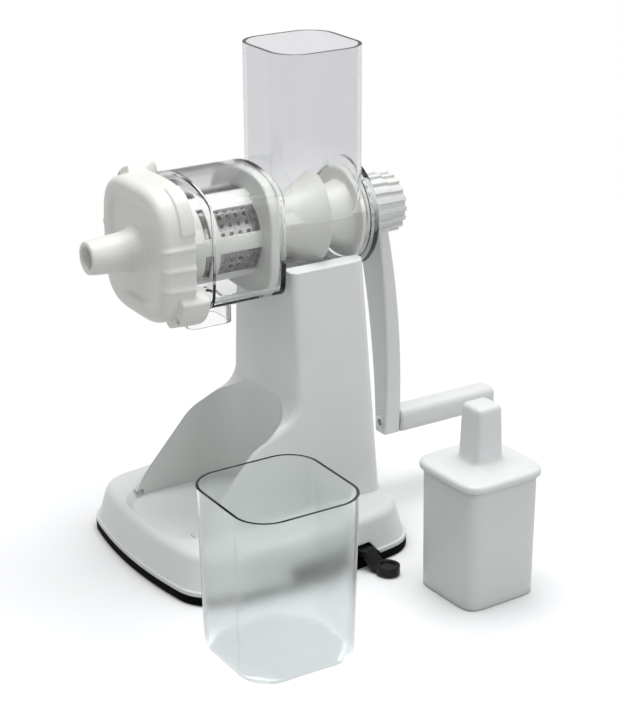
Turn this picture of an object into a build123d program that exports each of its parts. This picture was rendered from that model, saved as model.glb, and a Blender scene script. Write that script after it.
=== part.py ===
# Hand-cranked juicer for wheatgrass and leafy greens.
# A white stand on a suction foot carries a clear drum with its hopper. An auger turned by the
# crank presses the grass against a perforated screen: juice leaves by the chute under the drum
# and dry pulp by the nozzle in the end cap. A juice cup and a pusher stand beside it.
#
# Frame: the origin is the centre of the foot on the table, +Z is up, the nozzle points to -Y and
# the crank lies at +Y. The suction lever is on the +X side. All sizes are millimetres.
from build123d import *

import os
from math import cos, radians, sin

os.makedirs("parts", exist_ok=True)

# ------------------------------------------------------------------ driving dimensions
# Heights that set the whole machine
auger_axis_height = 202.5
hopper_top_height = 310.0
base_height = 30.0

# Foot of the stand: a square whose four sides bow outwards
base_width = 140.5
base_depth = 150.6
base_bow = 8.8
base_corner_radius = 25.0
skirt_inset = 5.0
skirt_wall = 3.2
shoulder_radius = 6.0
lip_height = 2.5
lip_overhang = 0.9

# Rubber suction pad under the foot
pad_height = 6.0
pad_overhang = 1.0
pad_rim_width = 10.0
pad_web_height = 2.0
pad_web_thickness = 2.0

# Plate that closes the foot, and its screws
plate_height = 13.5
plate_thickness = 2.5
plate_gap = 0.2
foot_screw_spacing_x = 100.0
foot_screw_spacing_y = 112.0
foot_boss_radius = 5.0
screw_radius = 1.9
screw_head_radius = 3.6
screw_head_height = 2.0

# Column of the stand and its two wings, seen from the side as (y, z)
column_top_height = 181.0
column_top_width = 70.0
column_foot_width = 88.0
column_front = 12.5
column_rear_top = 65.0
column_rear_foot = 73.5
wing_root_height = 92.0
wing_knee = (-20.0, 78.0)
wing_toe = (-64.0, 26.5)
wing_root_radius = 15.0
wing_knee_radius = 32.0
column_front_radius = 4.5
column_rear_radius = 9.0
column_wall = 3.6

# Seat for the cup, cut into the foot and up between the wings
seat_width = 79.0
seat_depth = 83.0
seat_center_y = -29.5
seat_corner_radius = 24.0
seat_recess = 4.0
seat_flare = 3.2
seat_rim_rear = 55.0

# Suction lever and stud
lever_rest_angle = 25.1
lever_height = 9.0
lever_thickness = 3.8
lever_width = 9.0
lever_hub_radius = 14.0
lever_bend_gap = 7.95
lever_bend_length = 6.0
lever_tab_reach = 15.0
lever_tab_length = 15.0
lever_tab_width = 13.6
lever_tab_bottom = 1.0
lever_tab_height = 5.4
lever_tab_rim = 2.2
lever_tab_dish = 0.8
lever_slot_height = 14.5
lever_slot_rear = 45.0
lever_slot_front = -17.0
lever_slot_slant = 3.5
stud_radius = 5.0
stud_head_radius = 20.0
stud_head_height = 1.4
stud_flat_width = 8.0
suction_lift = 3.0
stud_running_gap = 0.05

# Clear drum round the auger axis
barrel_radius = 31.0
barrel_wall = 2.2
barrel_rear = 74.1
flange_radius = 34.0
flange_thickness = 3.5
chamber_rear = 5.5
chamber_front = -43.0
chamber_width = 75.0
chamber_height = 60.0
chamber_side_bow = 2.0
chamber_top_bow = 10.5
chamber_corner_radius = 8.0
chamber_wall = 2.4
collar_radius = 36.5
collar_wall = 2.6
collar_front = -64.0

# Hopper over the auger
hopper_width = 60.8
hopper_center_y = 41.3
hopper_corner_radius = 17.7
hopper_wall = 2.3

# Juice chute
chute_width = 26.0
chute_depth = 30.0
chute_center_y = -30.0
chute_bottom = 150.5
chute_corner_radius = 6.0
chute_wall = 2.0

# Foot of the drum in the top of the column, and its screws
drum_foot_width = 22.0
drum_foot_length = 40.0
drum_foot_bottom = 163.0
drum_foot_gap = 0.15
drum_screw_spacing = 26.0
drum_screw_depth = 7.5
saddle_gap = 0.15

# Auger
flight_gap = 0.6
flight_root_sink = 1.5
feed_flight_pitch = 32.0
feed_flight_front = 14.0
feed_flight_turns = 1.5
feed_flight_phase = -98.0
feed_flight_thickness = 3.4
core_radius = 18.5
core_waist_start = 46.0
core_waist_radius = 16.0
auger_rear_disc = 2.5
auger_rear_gap = 0.6
auger_front = -57.0
auger_tip = -68.0
auger_tip_radius = 6.5
press_core_radius = 20.0
press_flight_front = -54.0
press_flight_pitch = 18.0
press_flight_turns = 3.2
press_flight_thickness = 2.6
press_flight_gap = 0.35
journal_radius = 9.0

# Drive shaft, bush and seal
shaft_radius = 5.5
shaft_square = 11.0
shaft_front = 28.0
shaft_edge_radius = 1.0
thread_radius = 4.0
square_gap = 0.05
bush_wall = 2.0
bush_flange_radius = 14.0
bush_flange_thickness = 1.5
seal_radius = 16.0

# Crank
hub_radius = 18.2
hub_front = 77.5
hub_rear = 95.5
hub_rib_count = 18
hub_rib_rise = 1.5
hub_rib_width = 2.8
crank_radius = 148.5
hub_collar = 4.0
arm_top_width = 28.0
arm_foot_width = 12.0
arm_front_top = 85.0
arm_front_mid = 96.2
arm_front_foot = 98.5
arm_rear_top = 92.0
arm_rear_mid = 107.2
arm_rear_foot = 110.5
arm_mid_share = 0.57
arm_edge_radius = 1.8
grip_length = 76.0
grip_width = 16.0
grip_height = 14.0
grip_corner_radius = 5.5
grip_end_radius = 5.0
grip_barb_radius = 4.4
grip_barb_length = 6.0
grip_screw_radius = 3.5
grip_screw_head_radius = 5.0
grip_screw_head_height = 2.6
grip_screw_reach = 40.0
washer_thickness = 1.0
running_gap = 0.05

# Lock knob behind the crank
knob_radius = 17.0
knob_length = 9.2
knob_rib_count = 18
knob_rib_rise = 1.5
knob_rib_width = 2.6
knob_gap = 0.1
knob_clearance = 0.5
insert_radius = 6.5
insert_length = 7.5
knob_crown = 2.0
thrust_washer_radius = 12.0

# Screen cage and screen
cage_radius = 27.2
cage_wall = 1.8
cage_front = -65.8
cage_rear = 9.8
cage_collar_front = -8.0
cage_collar_rear = 2.4
cage_fit = 0.25
window_count = 7
window_first_angle = 26.0
window_angle = 39.0
window_front = -31.5
window_rear = -2.5
port_front = -41.5
port_rear = -35.5
screen_thickness = 0.6
screen_front = -43.5
screen_fit = 0.05
hole_radius = 1.0
hole_pitch = 5.6
hole_columns = 5
hole_rows = 4

# End cap
cap_rear = -54.5
cap_face = -75.0
cap_width = 78.0
cap_height = 62.0
cap_side_bow = 2.0
cap_top_bow = 11.0
cap_corner_radius = 9.0
cap_draft = 5.0
cap_edge_radius = 2.5
cap_wall = 3.0
cap_fit = 0.1
cap_lip = 0.9
panel_inset = 13.0
panel_recess = 1.8
nozzle_root_radius = 14.0
nozzle_flare_length = 9.0
nozzle_waist_radius = 11.6
nozzle_neck_radius = 10.8
nozzle_tip_radius = 9.8
nozzle_tip = -104.0
nozzle_bore_radius = 6.9
grip_rib_radius = 1.3
grip_rib_count = 3
grip_rib_pitch = 12.2
grip_rib_center = -3.6
pad_front = -63.0
pad_rise = 1.2
pad_first_angle = 22.0
pad_last_angle = 62.0
ear_rear = -46.0
ear_front = -64.0
ear_rise = 4.5
ear_first_angle = -64.0
ear_last_angle = -28.0
ear_hole_radius = 1.6
slot_closed_angle = 5.8
slot_open_angle = 30.0
lug_angle = -43.0
lug_width = 7.0
lug_length = 4.0
lug_height = 6.0
lug_gap = 0.3
lug_rear = -50.0

# Cup that stands beside the machine
cup_x = 132.7
cup_y = -58.0
cup_height = 99.4
cup_top_width = 76.2
cup_bottom_width = 72.2
cup_corner_radius = 19.4
cup_wall = 1.8
cup_floor = 2.6
cup_foot_radius = 2.5

# Pusher that stands beside the machine
pusher_x = 134.0
pusher_y = 79.4
pusher_yaw = 2.0
pusher_body_width = 52.6
pusher_body_height = 77.0
pusher_body_radius = 9.0
pusher_draft = 1.0
pusher_wall = 2.0
pusher_flange_width = 57.6
pusher_flange_radius = 11.0
pusher_flange_thickness = 4.6
pusher_handle_width = 19.4
pusher_handle_top_width = 17.6
pusher_handle_radius = 3.0
pusher_handle_edge = 1.5
pusher_handle_top = 119.5
pusher_fit = 0.1
pusher_crown = 1.6
pusher_plug_depth = 5.0


# ------------------------------------------------------------------ shared outlines and planes
auger_axis = Axis((0, 0, auger_axis_height), (0, 1, 0))
side = Plane(origin=(0, 0, auger_axis_height), x_dir=(0, 1, 0), z_dir=(1, 0, 0))


def across(y):
    """Plane across the auger axis at y, facing the nozzle: local axes are X and height."""
    return Plane(origin=(0, y, auger_axis_height), x_dir=(1, 0, 0), z_dir=(0, -1, 0))


def bowed_rectangle(width, height, bow_x, bow_y, corner, inset=0.0):
    """Rectangle whose sides are arcs bowed outwards, drawn in by an inset."""
    half_x = width / 2 - inset
    half_y = height / 2 - inset
    with BuildSketch() as outline:
        with BuildLine():
            ThreePointArc((-half_x, -half_y), (0, -half_y - bow_y), (half_x, -half_y))
            ThreePointArc((half_x, -half_y), (half_x + bow_x, 0), (half_x, half_y))
            ThreePointArc((half_x, half_y), (0, half_y + bow_y), (-half_x, half_y))
            ThreePointArc((-half_x, half_y), (-half_x - bow_x, 0), (-half_x, -half_y))
        make_face()
        fillet(outline.vertices(), corner)
    return outline.sketch


def base_outline(inset):
    """Outline of the foot, drawn in by an inset."""
    return bowed_rectangle(base_width, base_depth, base_bow, base_bow, base_corner_radius, inset)


def chamber_outline(inset):
    """Section of the drum's front chamber, drawn in by an inset."""
    return bowed_rectangle(
        chamber_width,
        chamber_height,
        chamber_side_bow,
        chamber_top_bow,
        chamber_corner_radius - inset * 0.5,
        inset,
    )


# ------------------------------------------------------------------ stand
seat_floor = base_height - seat_recess
wing_root = (column_front, wing_root_height)
saddle_radius = barrel_radius + saddle_gap
foot_underside = plate_height + plate_thickness + plate_gap
foot_screw_places = GridLocations(foot_screw_spacing_x, foot_screw_spacing_y, 2, 2)
drum_foot_y = (column_front + column_rear_top) / 2
drum_screw_places = Locations(
    (0, drum_foot_y - drum_screw_spacing / 2), (0, drum_foot_y + drum_screw_spacing / 2)
)


def seat_outline(inset):
    """Outline of the cup's seat, drawn in by an inset."""
    with BuildSketch() as outline:
        with Locations((0, seat_center_y)):
            RectangleRounded(
                seat_width + (seat_flare - inset) * 2,
                seat_depth + (seat_flare - inset) * 2,
                seat_corner_radius,
            )
    return outline.sketch


# Form of the foot: a drafted skirt with a rounded shoulder and a thin lip over the rubber
with BuildPart() as foot_form:
    with BuildSketch(Plane.XY.offset(pad_height)):
        add(base_outline(0))
    with BuildSketch(Plane.XY.offset(base_height)):
        add(base_outline(skirt_inset))
    loft(ruled=True)
    fillet(foot_form.faces().sort_by(Axis.Z)[-1].edges(), shoulder_radius)
    with BuildSketch(Plane.XY.offset(pad_height)):
        add(base_outline(-lip_overhang))
    extrude(amount=lip_height)

# Form of the column: its side profile drawn through, cut to the draft of its front view
with BuildPart() as column_form:
    with BuildSketch(Plane.YZ):
        with BuildLine():
            FilletPolyline(
                (column_front, column_top_height),
                wing_root,
                wing_knee,
                wing_toe,
                radius=[wing_root_radius, wing_knee_radius],
            )
            Polyline(
                wing_toe,
                (wing_toe[0], foot_underside),
                (column_rear_foot, foot_underside),
                (column_rear_top, column_top_height),
                (column_front, column_top_height),
            )
        make_face()
    extrude(amount=column_foot_width, both=True)
    with BuildSketch(Plane.XZ):
        with BuildLine():
            Polyline(
                (-column_foot_width / 2, foot_underside),
                (column_foot_width / 2, foot_underside),
                (column_top_width / 2, column_top_height),
                (-column_top_width / 2, column_top_height),
                close=True,
            )
        make_face()
    extrude(amount=base_depth, both=True, mode=Mode.INTERSECT)
    upright_edges = column_form.edges().filter_by(lambda e: e.bounding_box().size.Z > lip_height)
    fillet(upright_edges.filter_by(lambda e: e.center().Y > column_rear_top - 1), column_rear_radius)
    front_edges = upright_edges.filter_by(lambda e: wing_toe[0] < e.center().Y < column_front + 1)
    fillet(front_edges, column_front_radius)

# Sloped rim of the cup's seat, in front of the wings only
with BuildPart() as seat_rim_form:
    with BuildSketch(Plane.XY.offset(seat_floor)):
        add(seat_outline(seat_flare))
    with BuildSketch(Plane.XY.offset(base_height)):
        add(seat_outline(0))
    loft()
    split(bisect_by=Plane.XZ.offset(seat_rim_rear), keep=Keep.TOP)

# Stand: one hollow moulding, with the drum's saddle across the top of the column, the cup's
# seat let into the foot between the wings, and a slot in the skirt for the lever
with BuildPart() as pedestal:
    add(foot_form.part)
    add(column_form.part)
    # saddle for the barrel and pocket for the drum's foot
    with BuildSketch(across(barrel_rear)):
        Circle(saddle_radius)
    extrude(amount=barrel_rear - chamber_front, mode=Mode.SUBTRACT)
    with BuildSketch(Plane.XY.offset(drum_foot_bottom)):
        with Locations((0, drum_foot_y)):
            Rectangle(drum_foot_width + drum_foot_gap * 2, drum_foot_length + drum_foot_gap * 2)
    extrude(amount=column_top_height - drum_foot_bottom, mode=Mode.SUBTRACT)
    with BuildSketch(Plane.XY.offset(drum_foot_bottom)):
        with drum_screw_places:
            Circle(screw_radius + drum_foot_gap)
    extrude(amount=-column_wall * 2, mode=Mode.SUBTRACT)
    # seat: a sloped rim in the foot, then straight walls up between the wings
    with BuildSketch(Plane.XY.offset(seat_floor)):
        add(seat_outline(seat_flare))
    extrude(amount=wing_root_height, mode=Mode.SUBTRACT)
    add(seat_rim_form.part, mode=Mode.SUBTRACT)
    # hollow foot and hollow column
    with BuildSketch(Plane.XY.offset(pad_height)):
        add(base_outline(skirt_wall))
    with BuildSketch(Plane.XY.offset(seat_floor - skirt_wall)):
        add(base_outline(skirt_wall + skirt_inset))
    loft(ruled=True, mode=Mode.SUBTRACT)
    cavity_rear = column_rear_top - column_wall
    with BuildSketch(Plane.XY.offset(seat_floor - skirt_wall)):
        with Locations((0, (column_front + column_wall + cavity_rear) / 2)):
            Rectangle(column_foot_width - column_wall * 3, cavity_rear - column_front - column_wall)
    with BuildSketch(Plane.XY.offset(drum_foot_bottom - column_wall * 2)):
        with Locations((0, (column_front + column_wall + cavity_rear) / 2)):
            Rectangle(column_top_width - column_wall * 2, cavity_rear - column_front - column_wall)
    loft(ruled=True, mode=Mode.SUBTRACT)
    # bosses for the foot screws
    with BuildSketch(Plane.XY.offset(foot_underside)):
        with foot_screw_places:
            Circle(foot_boss_radius)
    extrude(amount=seat_floor - foot_underside)
    with BuildSketch(Plane.XY.offset(foot_underside)):
        with foot_screw_places:
            Circle(screw_radius)
    extrude(amount=seat_floor - foot_underside - skirt_wall, mode=Mode.SUBTRACT)
    # slot for the lever
    with BuildSketch(Plane.YZ.offset(base_width / 2 - base_bow)):
        with BuildLine():
            Polyline(
                (lever_slot_front, pad_height),
                (lever_slot_rear + lever_slot_slant, pad_height),
                (lever_slot_rear - lever_slot_slant, lever_slot_height),
                (lever_slot_front, lever_slot_height),
                close=True,
            )
        make_face()
    extrude(amount=base_bow * 3, mode=Mode.SUBTRACT)
pedestal.part.label = "pedestal"
export_step(pedestal.part, "parts/pedestal.step")


# ------------------------------------------------------------------ suction foot
web_top = pad_web_height + pad_web_thickness
cavity_draft = skirt_inset / (seat_floor - skirt_wall - pad_height)
plate_inset = skirt_wall + (plate_height + plate_thickness - pad_height) * cavity_draft + plate_gap
stud_bottom = web_top + plate_gap
guide_top = seat_floor - skirt_wall - plate_gap

# Suction pad: a rubber ring under the skirt with a thin web stretched across it
with BuildPart() as suction_pad:
    with BuildSketch():
        add(base_outline(-pad_overhang))
    extrude(amount=pad_height)
    with BuildSketch():
        add(base_outline(pad_rim_width))
    extrude(amount=pad_web_height, mode=Mode.SUBTRACT)
    with BuildSketch(Plane.XY.offset(web_top)):
        add(base_outline(pad_rim_width))
    extrude(amount=pad_height - web_top, mode=Mode.SUBTRACT)
    chamfer(suction_pad.faces().sort_by(Axis.Z)[0].outer_wire().edges(), pad_overhang)
suction_pad.part.label = "suction_pad"
export_step(suction_pad.part, "parts/suction_pad.step")

# Foot plate: closes the skirt over the lever and guides the stud in a square-sided collar
with BuildPart() as foot_plate:
    with BuildSketch(Plane.XY.offset(plate_height)):
        add(base_outline(plate_inset))
    extrude(amount=plate_thickness)
    with BuildSketch(Plane.XY.offset(plate_height)):
        Circle(lever_hub_radius)
    extrude(amount=guide_top - plate_height)
    with BuildSketch(Plane.XY.offset(plate_height)):
        Rectangle(stud_flat_width + stud_running_gap * 2, (stud_radius + stud_running_gap) * 2)
    extrude(amount=guide_top, mode=Mode.SUBTRACT)
    with BuildSketch(Plane.XY.offset(plate_height)):
        with foot_screw_places:
            Circle(screw_radius + plate_gap)
    extrude(amount=plate_thickness, mode=Mode.SUBTRACT)
foot_plate.part.label = "foot_plate"
export_step(foot_plate.part, "parts/foot_plate.step")


def pan_screw(tip_height, head_height, places, head_radius, name):
    """Group of upright pan-head screws, heads down, at the given places."""
    with BuildPart() as screws:
        with BuildSketch(Plane.XY.offset(head_height)):
            with places:
                Circle(head_radius)
        extrude(amount=-screw_head_height)
        with BuildSketch(Plane.XY.offset(head_height)):
            with places:
                Circle(screw_radius)
        extrude(amount=tip_height - head_height)
        with BuildSketch(Plane.XY.offset(head_height - screw_head_height)):
            with places:
                RegularPolygon(head_radius / 2, 6)
        extrude(amount=screw_head_height / 2, mode=Mode.SUBTRACT)
    screws.part.label = name
    export_step(screws.part, f"parts/{name}.step")
    return screws.part


# Four screws hold the foot plate to the bosses in the skirt
foot_screws = pan_screw(
    seat_floor - skirt_wall, plate_height, foot_screw_places, screw_head_radius, "foot_screws"
)

# Suction stud: a disc moulded to the web, a round neck in the lever's hub and a flatted top
with BuildPart() as suction_stud:
    with BuildSketch(Plane.XY.offset(stud_bottom)):
        Circle(stud_head_radius)
    extrude(amount=stud_head_height)
    with BuildSketch(Plane.XY.offset(stud_bottom)):
        Circle(stud_radius)
    extrude(amount=plate_height - stud_bottom - suction_lift)
    with BuildSketch(Plane.XY.offset(stud_bottom)):
        Circle(stud_radius)
        Rectangle(stud_flat_width, stud_radius * 2, mode=Mode.INTERSECT)
    extrude(amount=guide_top - stud_bottom - suction_lift)
suction_stud.part.label = "suction_stud"
export_step(suction_stud.part, "parts/suction_stud.step")

# Suction lever: a hub that runs round the stud, an arm out through the skirt that bends down
# past the pad, and a dished thumb tab
lever_plane = Plane.XY.offset(lever_height).rotated((0, 0, lever_rest_angle))
lever_profile = Plane.XZ.rotated((0, 0, lever_rest_angle))
tab_plane = Plane.XY.offset(lever_tab_bottom).rotated((0, 0, lever_rest_angle))
lever_top = lever_height + lever_thickness
lever_bend_start = base_width / 2 + base_bow + lever_bend_gap
lever_bend_end = lever_bend_start + lever_bend_length
lever_tab_radius = lever_bend_start + lever_tab_reach
tab_top = lever_tab_bottom + lever_tab_height
with BuildPart() as suction_lever:
    with BuildSketch(lever_plane):
        Circle(lever_hub_radius)
    extrude(amount=lever_thickness)
    with BuildSketch(lever_profile):
        with BuildLine():
            Polyline(
                (0, lever_height),
                (lever_bend_start, lever_height),
                (lever_bend_end, lever_tab_bottom),
                (lever_tab_radius, lever_tab_bottom),
                (lever_tab_radius, tab_top),
                (lever_bend_end + lever_tab_rim, tab_top),
                (lever_bend_start + lever_tab_rim, lever_top),
                (0, lever_top),
                close=True,
            )
        make_face()
    extrude(amount=lever_width / 2, both=True)
    with BuildSketch(tab_plane):
        with Locations((lever_tab_radius, 0)):
            SlotOverall(lever_tab_length, lever_tab_width)
    extrude(amount=lever_tab_height)
    with BuildSketch(tab_plane.offset(lever_tab_height)):
        with Locations((lever_tab_radius, 0)):
            SlotOverall(lever_tab_length - lever_tab_rim * 2, lever_tab_width - lever_tab_rim * 2)
    extrude(amount=-lever_tab_dish, mode=Mode.SUBTRACT)
    with BuildSketch(lever_plane):
        Circle(stud_radius + stud_running_gap)
    extrude(amount=lever_thickness, mode=Mode.SUBTRACT)
suction_lever.part.label = "suction_lever"
export_step(suction_lever.part, "parts/suction_lever.step")


# ------------------------------------------------------------------ clear drum
barrel_bore = barrel_radius - barrel_wall
collar_bore = collar_radius - collar_wall
bush_radius = journal_radius + bush_wall
barrel_rear_wall = barrel_rear - flange_thickness


def hopper_outline(inset):
    """Section of the hopper, drawn in by an inset."""
    with BuildSketch() as outline:
        with Locations((0, hopper_center_y)):
            width = hopper_width - inset * 2
            RectangleRounded(width, width, hopper_corner_radius - inset)
    return outline.sketch


def chute_outline(inset):
    """Section of the juice chute, drawn in by an inset."""
    with BuildSketch() as outline:
        with Locations((0, chute_center_y)):
            width = chute_width - inset * 2
            depth = chute_depth - inset * 2
            RectangleRounded(width, depth, chute_corner_radius - inset)
    return outline.sketch


# Drum: one clear moulding of barrel, front chamber, collar for the cap, hopper and chute
with BuildPart() as drum:
    with BuildSketch(across(barrel_rear)):
        Circle(barrel_radius)
    extrude(amount=barrel_rear - chamber_rear)
    with BuildSketch(across(barrel_rear)):
        Circle(flange_radius)
    extrude(amount=flange_thickness)
    with BuildSketch(across(chamber_rear)):
        add(chamber_outline(0))
    extrude(amount=chamber_rear - chamber_front)
    with BuildSketch(across(chamber_front)):
        Circle(collar_radius)
    extrude(amount=chamber_front - collar_front)
    with BuildSketch(Plane.XY.offset(auger_axis_height)):
        add(hopper_outline(0))
    extrude(amount=hopper_top_height - auger_axis_height)
    with BuildSketch(Plane.XY.offset(chute_bottom)):
        add(chute_outline(0))
    extrude(amount=auger_axis_height - barrel_radius - chute_bottom)
    with BuildSketch(Plane.XY.offset(drum_foot_bottom)):
        with Locations((0, drum_foot_y)):
            Rectangle(drum_foot_width, drum_foot_length)
    extrude(amount=auger_axis_height - barrel_bore - drum_foot_bottom)
    with BuildSketch(across(lug_rear)):
        with PolarLocations(0, 2, start_angle=lug_angle):
            with Locations((collar_radius, 0)):
                Rectangle(lug_height * 2, lug_width)
    extrude(amount=lug_length)
    # hollows
    with BuildSketch(across(barrel_rear_wall)):
        Circle(barrel_bore)
    extrude(amount=barrel_rear_wall - chamber_rear + chamber_wall, mode=Mode.SUBTRACT)
    with BuildSketch(across(chamber_rear - chamber_wall)):
        add(chamber_outline(chamber_wall))
    extrude(amount=chamber_rear - chamber_front - chamber_wall * 2, mode=Mode.SUBTRACT)
    with BuildSketch(across(chamber_front + chamber_wall)):
        Circle(collar_bore)
    extrude(amount=chamber_front + chamber_wall - collar_front, mode=Mode.SUBTRACT)
    with BuildSketch(Plane.XY.offset(auger_axis_height)):
        add(hopper_outline(hopper_wall))
    extrude(amount=hopper_top_height - auger_axis_height, mode=Mode.SUBTRACT)
    with BuildSketch(Plane.XY.offset(chute_bottom)):
        add(chute_outline(chute_wall))
    extrude(amount=auger_axis_height - barrel_radius - chute_bottom, mode=Mode.SUBTRACT)
    with BuildSketch(across(barrel_rear)):
        Circle(bush_radius)
    extrude(amount=flange_thickness, mode=Mode.SUBTRACT)
    with BuildSketch(Plane.XY.offset(drum_foot_bottom)):
        with drum_screw_places:
            Circle(screw_radius)
    extrude(amount=drum_screw_depth, mode=Mode.SUBTRACT)
drum.part.label = "drum"
export_step(drum.part, "parts/drum.step")

# Two screws hold the drum's foot down from inside the column
with BuildPart() as drum_screws:
    with BuildSketch(Plane.XY.offset(drum_foot_bottom - column_wall * 2)):
        with drum_screw_places:
            Circle(screw_head_radius)
    extrude(amount=-screw_head_height)
    with BuildSketch(Plane.XY.offset(drum_foot_bottom - column_wall * 2)):
        with drum_screw_places:
            Circle(screw_radius)
    extrude(amount=column_wall * 2 + drum_screw_depth)
drum_screws.part.label = "drum_screws"
export_step(drum_screws.part, "parts/drum_screws.step")

# Bush: a flanged sleeve in the drum's rear wall that carries the auger's journal
with BuildPart() as bush:
    with BuildSketch(side):
        with BuildLine():
            Polyline(
                (barrel_rear_wall - bush_flange_thickness, journal_radius + running_gap),
                (barrel_rear_wall - bush_flange_thickness, bush_flange_radius),
                (barrel_rear_wall, bush_flange_radius),
                (barrel_rear_wall, bush_radius),
                (barrel_rear, bush_radius),
                (barrel_rear, journal_radius + running_gap),
                close=True,
            )
        make_face()
    revolve(axis=auger_axis)
bush.part.label = "bush"
export_step(bush.part, "parts/bush.step")

# ------------------------------------------------------------------ screen cage and screen
window_angles = [window_first_angle + 360 / window_count * i for i in range(window_count)]
screen_radius = cage_radius - cage_wall - screen_fit
press_bore = screen_radius - screen_thickness


def sector(inner, outer, first, last):
    """Sketch of a ring sector between two radii and two angles in degrees."""

    def point(radius, angle):
        return (radius * cos(radians(angle)), radius * sin(radians(angle)))

    middle = (first + last) / 2
    with BuildSketch() as outline:
        with BuildLine():
            Line(point(inner, first), point(outer, first))
            ThreePointArc(point(outer, first), point(outer, middle), point(outer, last))
            Line(point(outer, last), point(inner, last))
            ThreePointArc(point(inner, last), point(inner, middle), point(inner, first))
        make_face()
    return outline.sketch


# Screen cage: a moulded sleeve with two rings of windows, a rear collar that fills the chamber
# and a front rim that stops against the cap
with BuildPart() as screen_cage:
    with BuildSketch(across(cage_rear)):
        Circle(cage_radius)
    extrude(amount=cage_rear - cage_front)
    with BuildSketch(across(cage_collar_rear)):
        add(chamber_outline(chamber_wall + cage_fit))
    extrude(amount=cage_collar_rear - cage_collar_front)
    with BuildSketch(across(cage_collar_rear - cage_wall)):
        add(chamber_outline(chamber_wall + cage_fit + cage_wall))
        Circle(cage_radius, mode=Mode.SUBTRACT)
    extrude(amount=cage_collar_rear - cage_collar_front, mode=Mode.SUBTRACT)
    with BuildSketch(across(cage_front + cage_wall)):
        Circle(collar_bore - cage_fit)
        Circle(cage_radius, mode=Mode.SUBTRACT)
    extrude(amount=cage_wall)
    with BuildSketch(across(cage_rear)):
        Circle(cage_radius - cage_wall)
    extrude(amount=cage_rear - cage_front, mode=Mode.SUBTRACT)
    for front, rear in ((window_front, window_rear), (port_front, port_rear)):
        with BuildSketch(across(rear)):
            for angle in window_angles:
                low = angle - window_angle / 2
                add(sector(cage_radius - cage_wall * 2, cage_radius + cage_wall, low, low + window_angle))
        extrude(amount=rear - front, mode=Mode.SUBTRACT)
screen_cage.part.label = "screen_cage"
export_step(screen_cage.part, "parts/screen_cage.step")

# Screen: a perforated sheet tube inside the cage, bent into narrow flats with a row of holes on
# each flat behind a window and one blank flat behind each bar
screen_flats = window_count * (hole_rows + 1)
flat_angle = 360 / screen_flats
flat_turn = window_first_angle - flat_angle * hole_rows / 2
with BuildPart() as screen:
    with BuildSketch(across(cage_collar_rear)):
        RegularPolygon(screen_radius, screen_flats, rotation=flat_turn)
        RegularPolygon(screen_radius - screen_thickness, screen_flats, rotation=flat_turn, mode=Mode.SUBTRACT)
    extrude(amount=cage_collar_rear - screen_front)
    for angle in window_angles:
        for row in range(hole_rows):
            tilt = angle + (row - (hole_rows - 1) / 2) * flat_angle
            outward = (cos(radians(tilt)), 0, sin(radians(tilt)))
            drill = Plane(origin=(0, 0, auger_axis_height), x_dir=(0, 1, 0), z_dir=outward)
            with BuildSketch(drill.offset(press_bore - screen_thickness)):
                with Locations(((window_front + window_rear) / 2, 0)):
                    with GridLocations(hole_pitch, hole_pitch, hole_columns, 1):
                        RegularPolygon(hole_radius, 6)
    extrude(amount=screen_thickness * 4, mode=Mode.SUBTRACT)
screen.part.label = "screen"
export_step(screen.part, "parts/screen.step")

# ------------------------------------------------------------------ auger and drive
flight_radius = barrel_bore - flight_gap
press_flight_radius = press_bore - press_flight_gap
auger_rear = barrel_rear_wall - bush_flange_thickness - auger_rear_gap
journal_end = barrel_rear + auger_rear_gap
shaft_end = hub_rear + insert_length - knob_gap


def flight(front, pitch, turns, root, crest, thickness):
    """One left-hand helical blade round the auger axis, swept rearwards from its front end."""
    with BuildPart() as blade:
        with BuildLine() as lead:
            Helix(
                pitch=pitch,
                height=pitch * turns,
                radius=root,
                center=(0, front, auger_axis_height),
                direction=(0, 1, 0),
                lefthand=True,
            )
        start = lead.edges()[0]
        outward = start @ 0 - Vector(0, front, auger_axis_height)
        with BuildSketch(Plane(origin=start @ 0, x_dir=outward, z_dir=start % 0)):
            with BuildLine():
                Polyline(
                    (-flight_root_sink, -thickness * 0.8),
                    (crest - root, -thickness / 2),
                    (crest - root, thickness / 2),
                    (-flight_root_sink, thickness * 0.8),
                    close=True,
                )
            make_face()
        sweep(path=lead.wire(), is_frenet=True)
    return blade.part


# Auger: a thick core with a coarse feed flight under the hopper and a fine press flight inside
# the screen, a blunt cone at the front, a thrust disc at the rear and a journal in the bush
feed_blade = flight(
    feed_flight_front,
    feed_flight_pitch,
    feed_flight_turns,
    core_radius,
    flight_radius,
    feed_flight_thickness,
)
press_blade = flight(
    press_flight_front,
    press_flight_pitch,
    press_flight_turns,
    press_core_radius,
    press_flight_radius,
    press_flight_thickness,
)
with BuildPart() as auger:
    with BuildSketch(side):
        with BuildLine():
            Polyline(
                (auger_tip, 0),
                (auger_tip, auger_tip_radius),
                (auger_front, press_core_radius),
                (cage_rear, press_core_radius),
                (feed_flight_front, core_radius),
                (core_waist_start, core_radius),
            )
            ThreePointArc(
                (core_waist_start, core_radius),
                ((core_waist_start + auger_rear) / 2, core_waist_radius),
                (auger_rear - auger_rear_disc, flight_radius),
            )
            Polyline(
                (auger_rear - auger_rear_disc, flight_radius),
                (auger_rear, flight_radius),
                (auger_rear, journal_radius),
                (journal_end, journal_radius),
                (journal_end, 0),
                (auger_tip, 0),
            )
        make_face()
    revolve(axis=auger_axis)
    add(feed_blade.rotate(auger_axis, feed_flight_phase))
    add(press_blade)
    with BuildSketch(across(journal_end)):
        Circle(shaft_radius)
    extrude(amount=journal_end - shaft_front, mode=Mode.SUBTRACT)
auger.part.label = "auger"
export_step(auger.part, "parts/auger.step")

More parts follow.
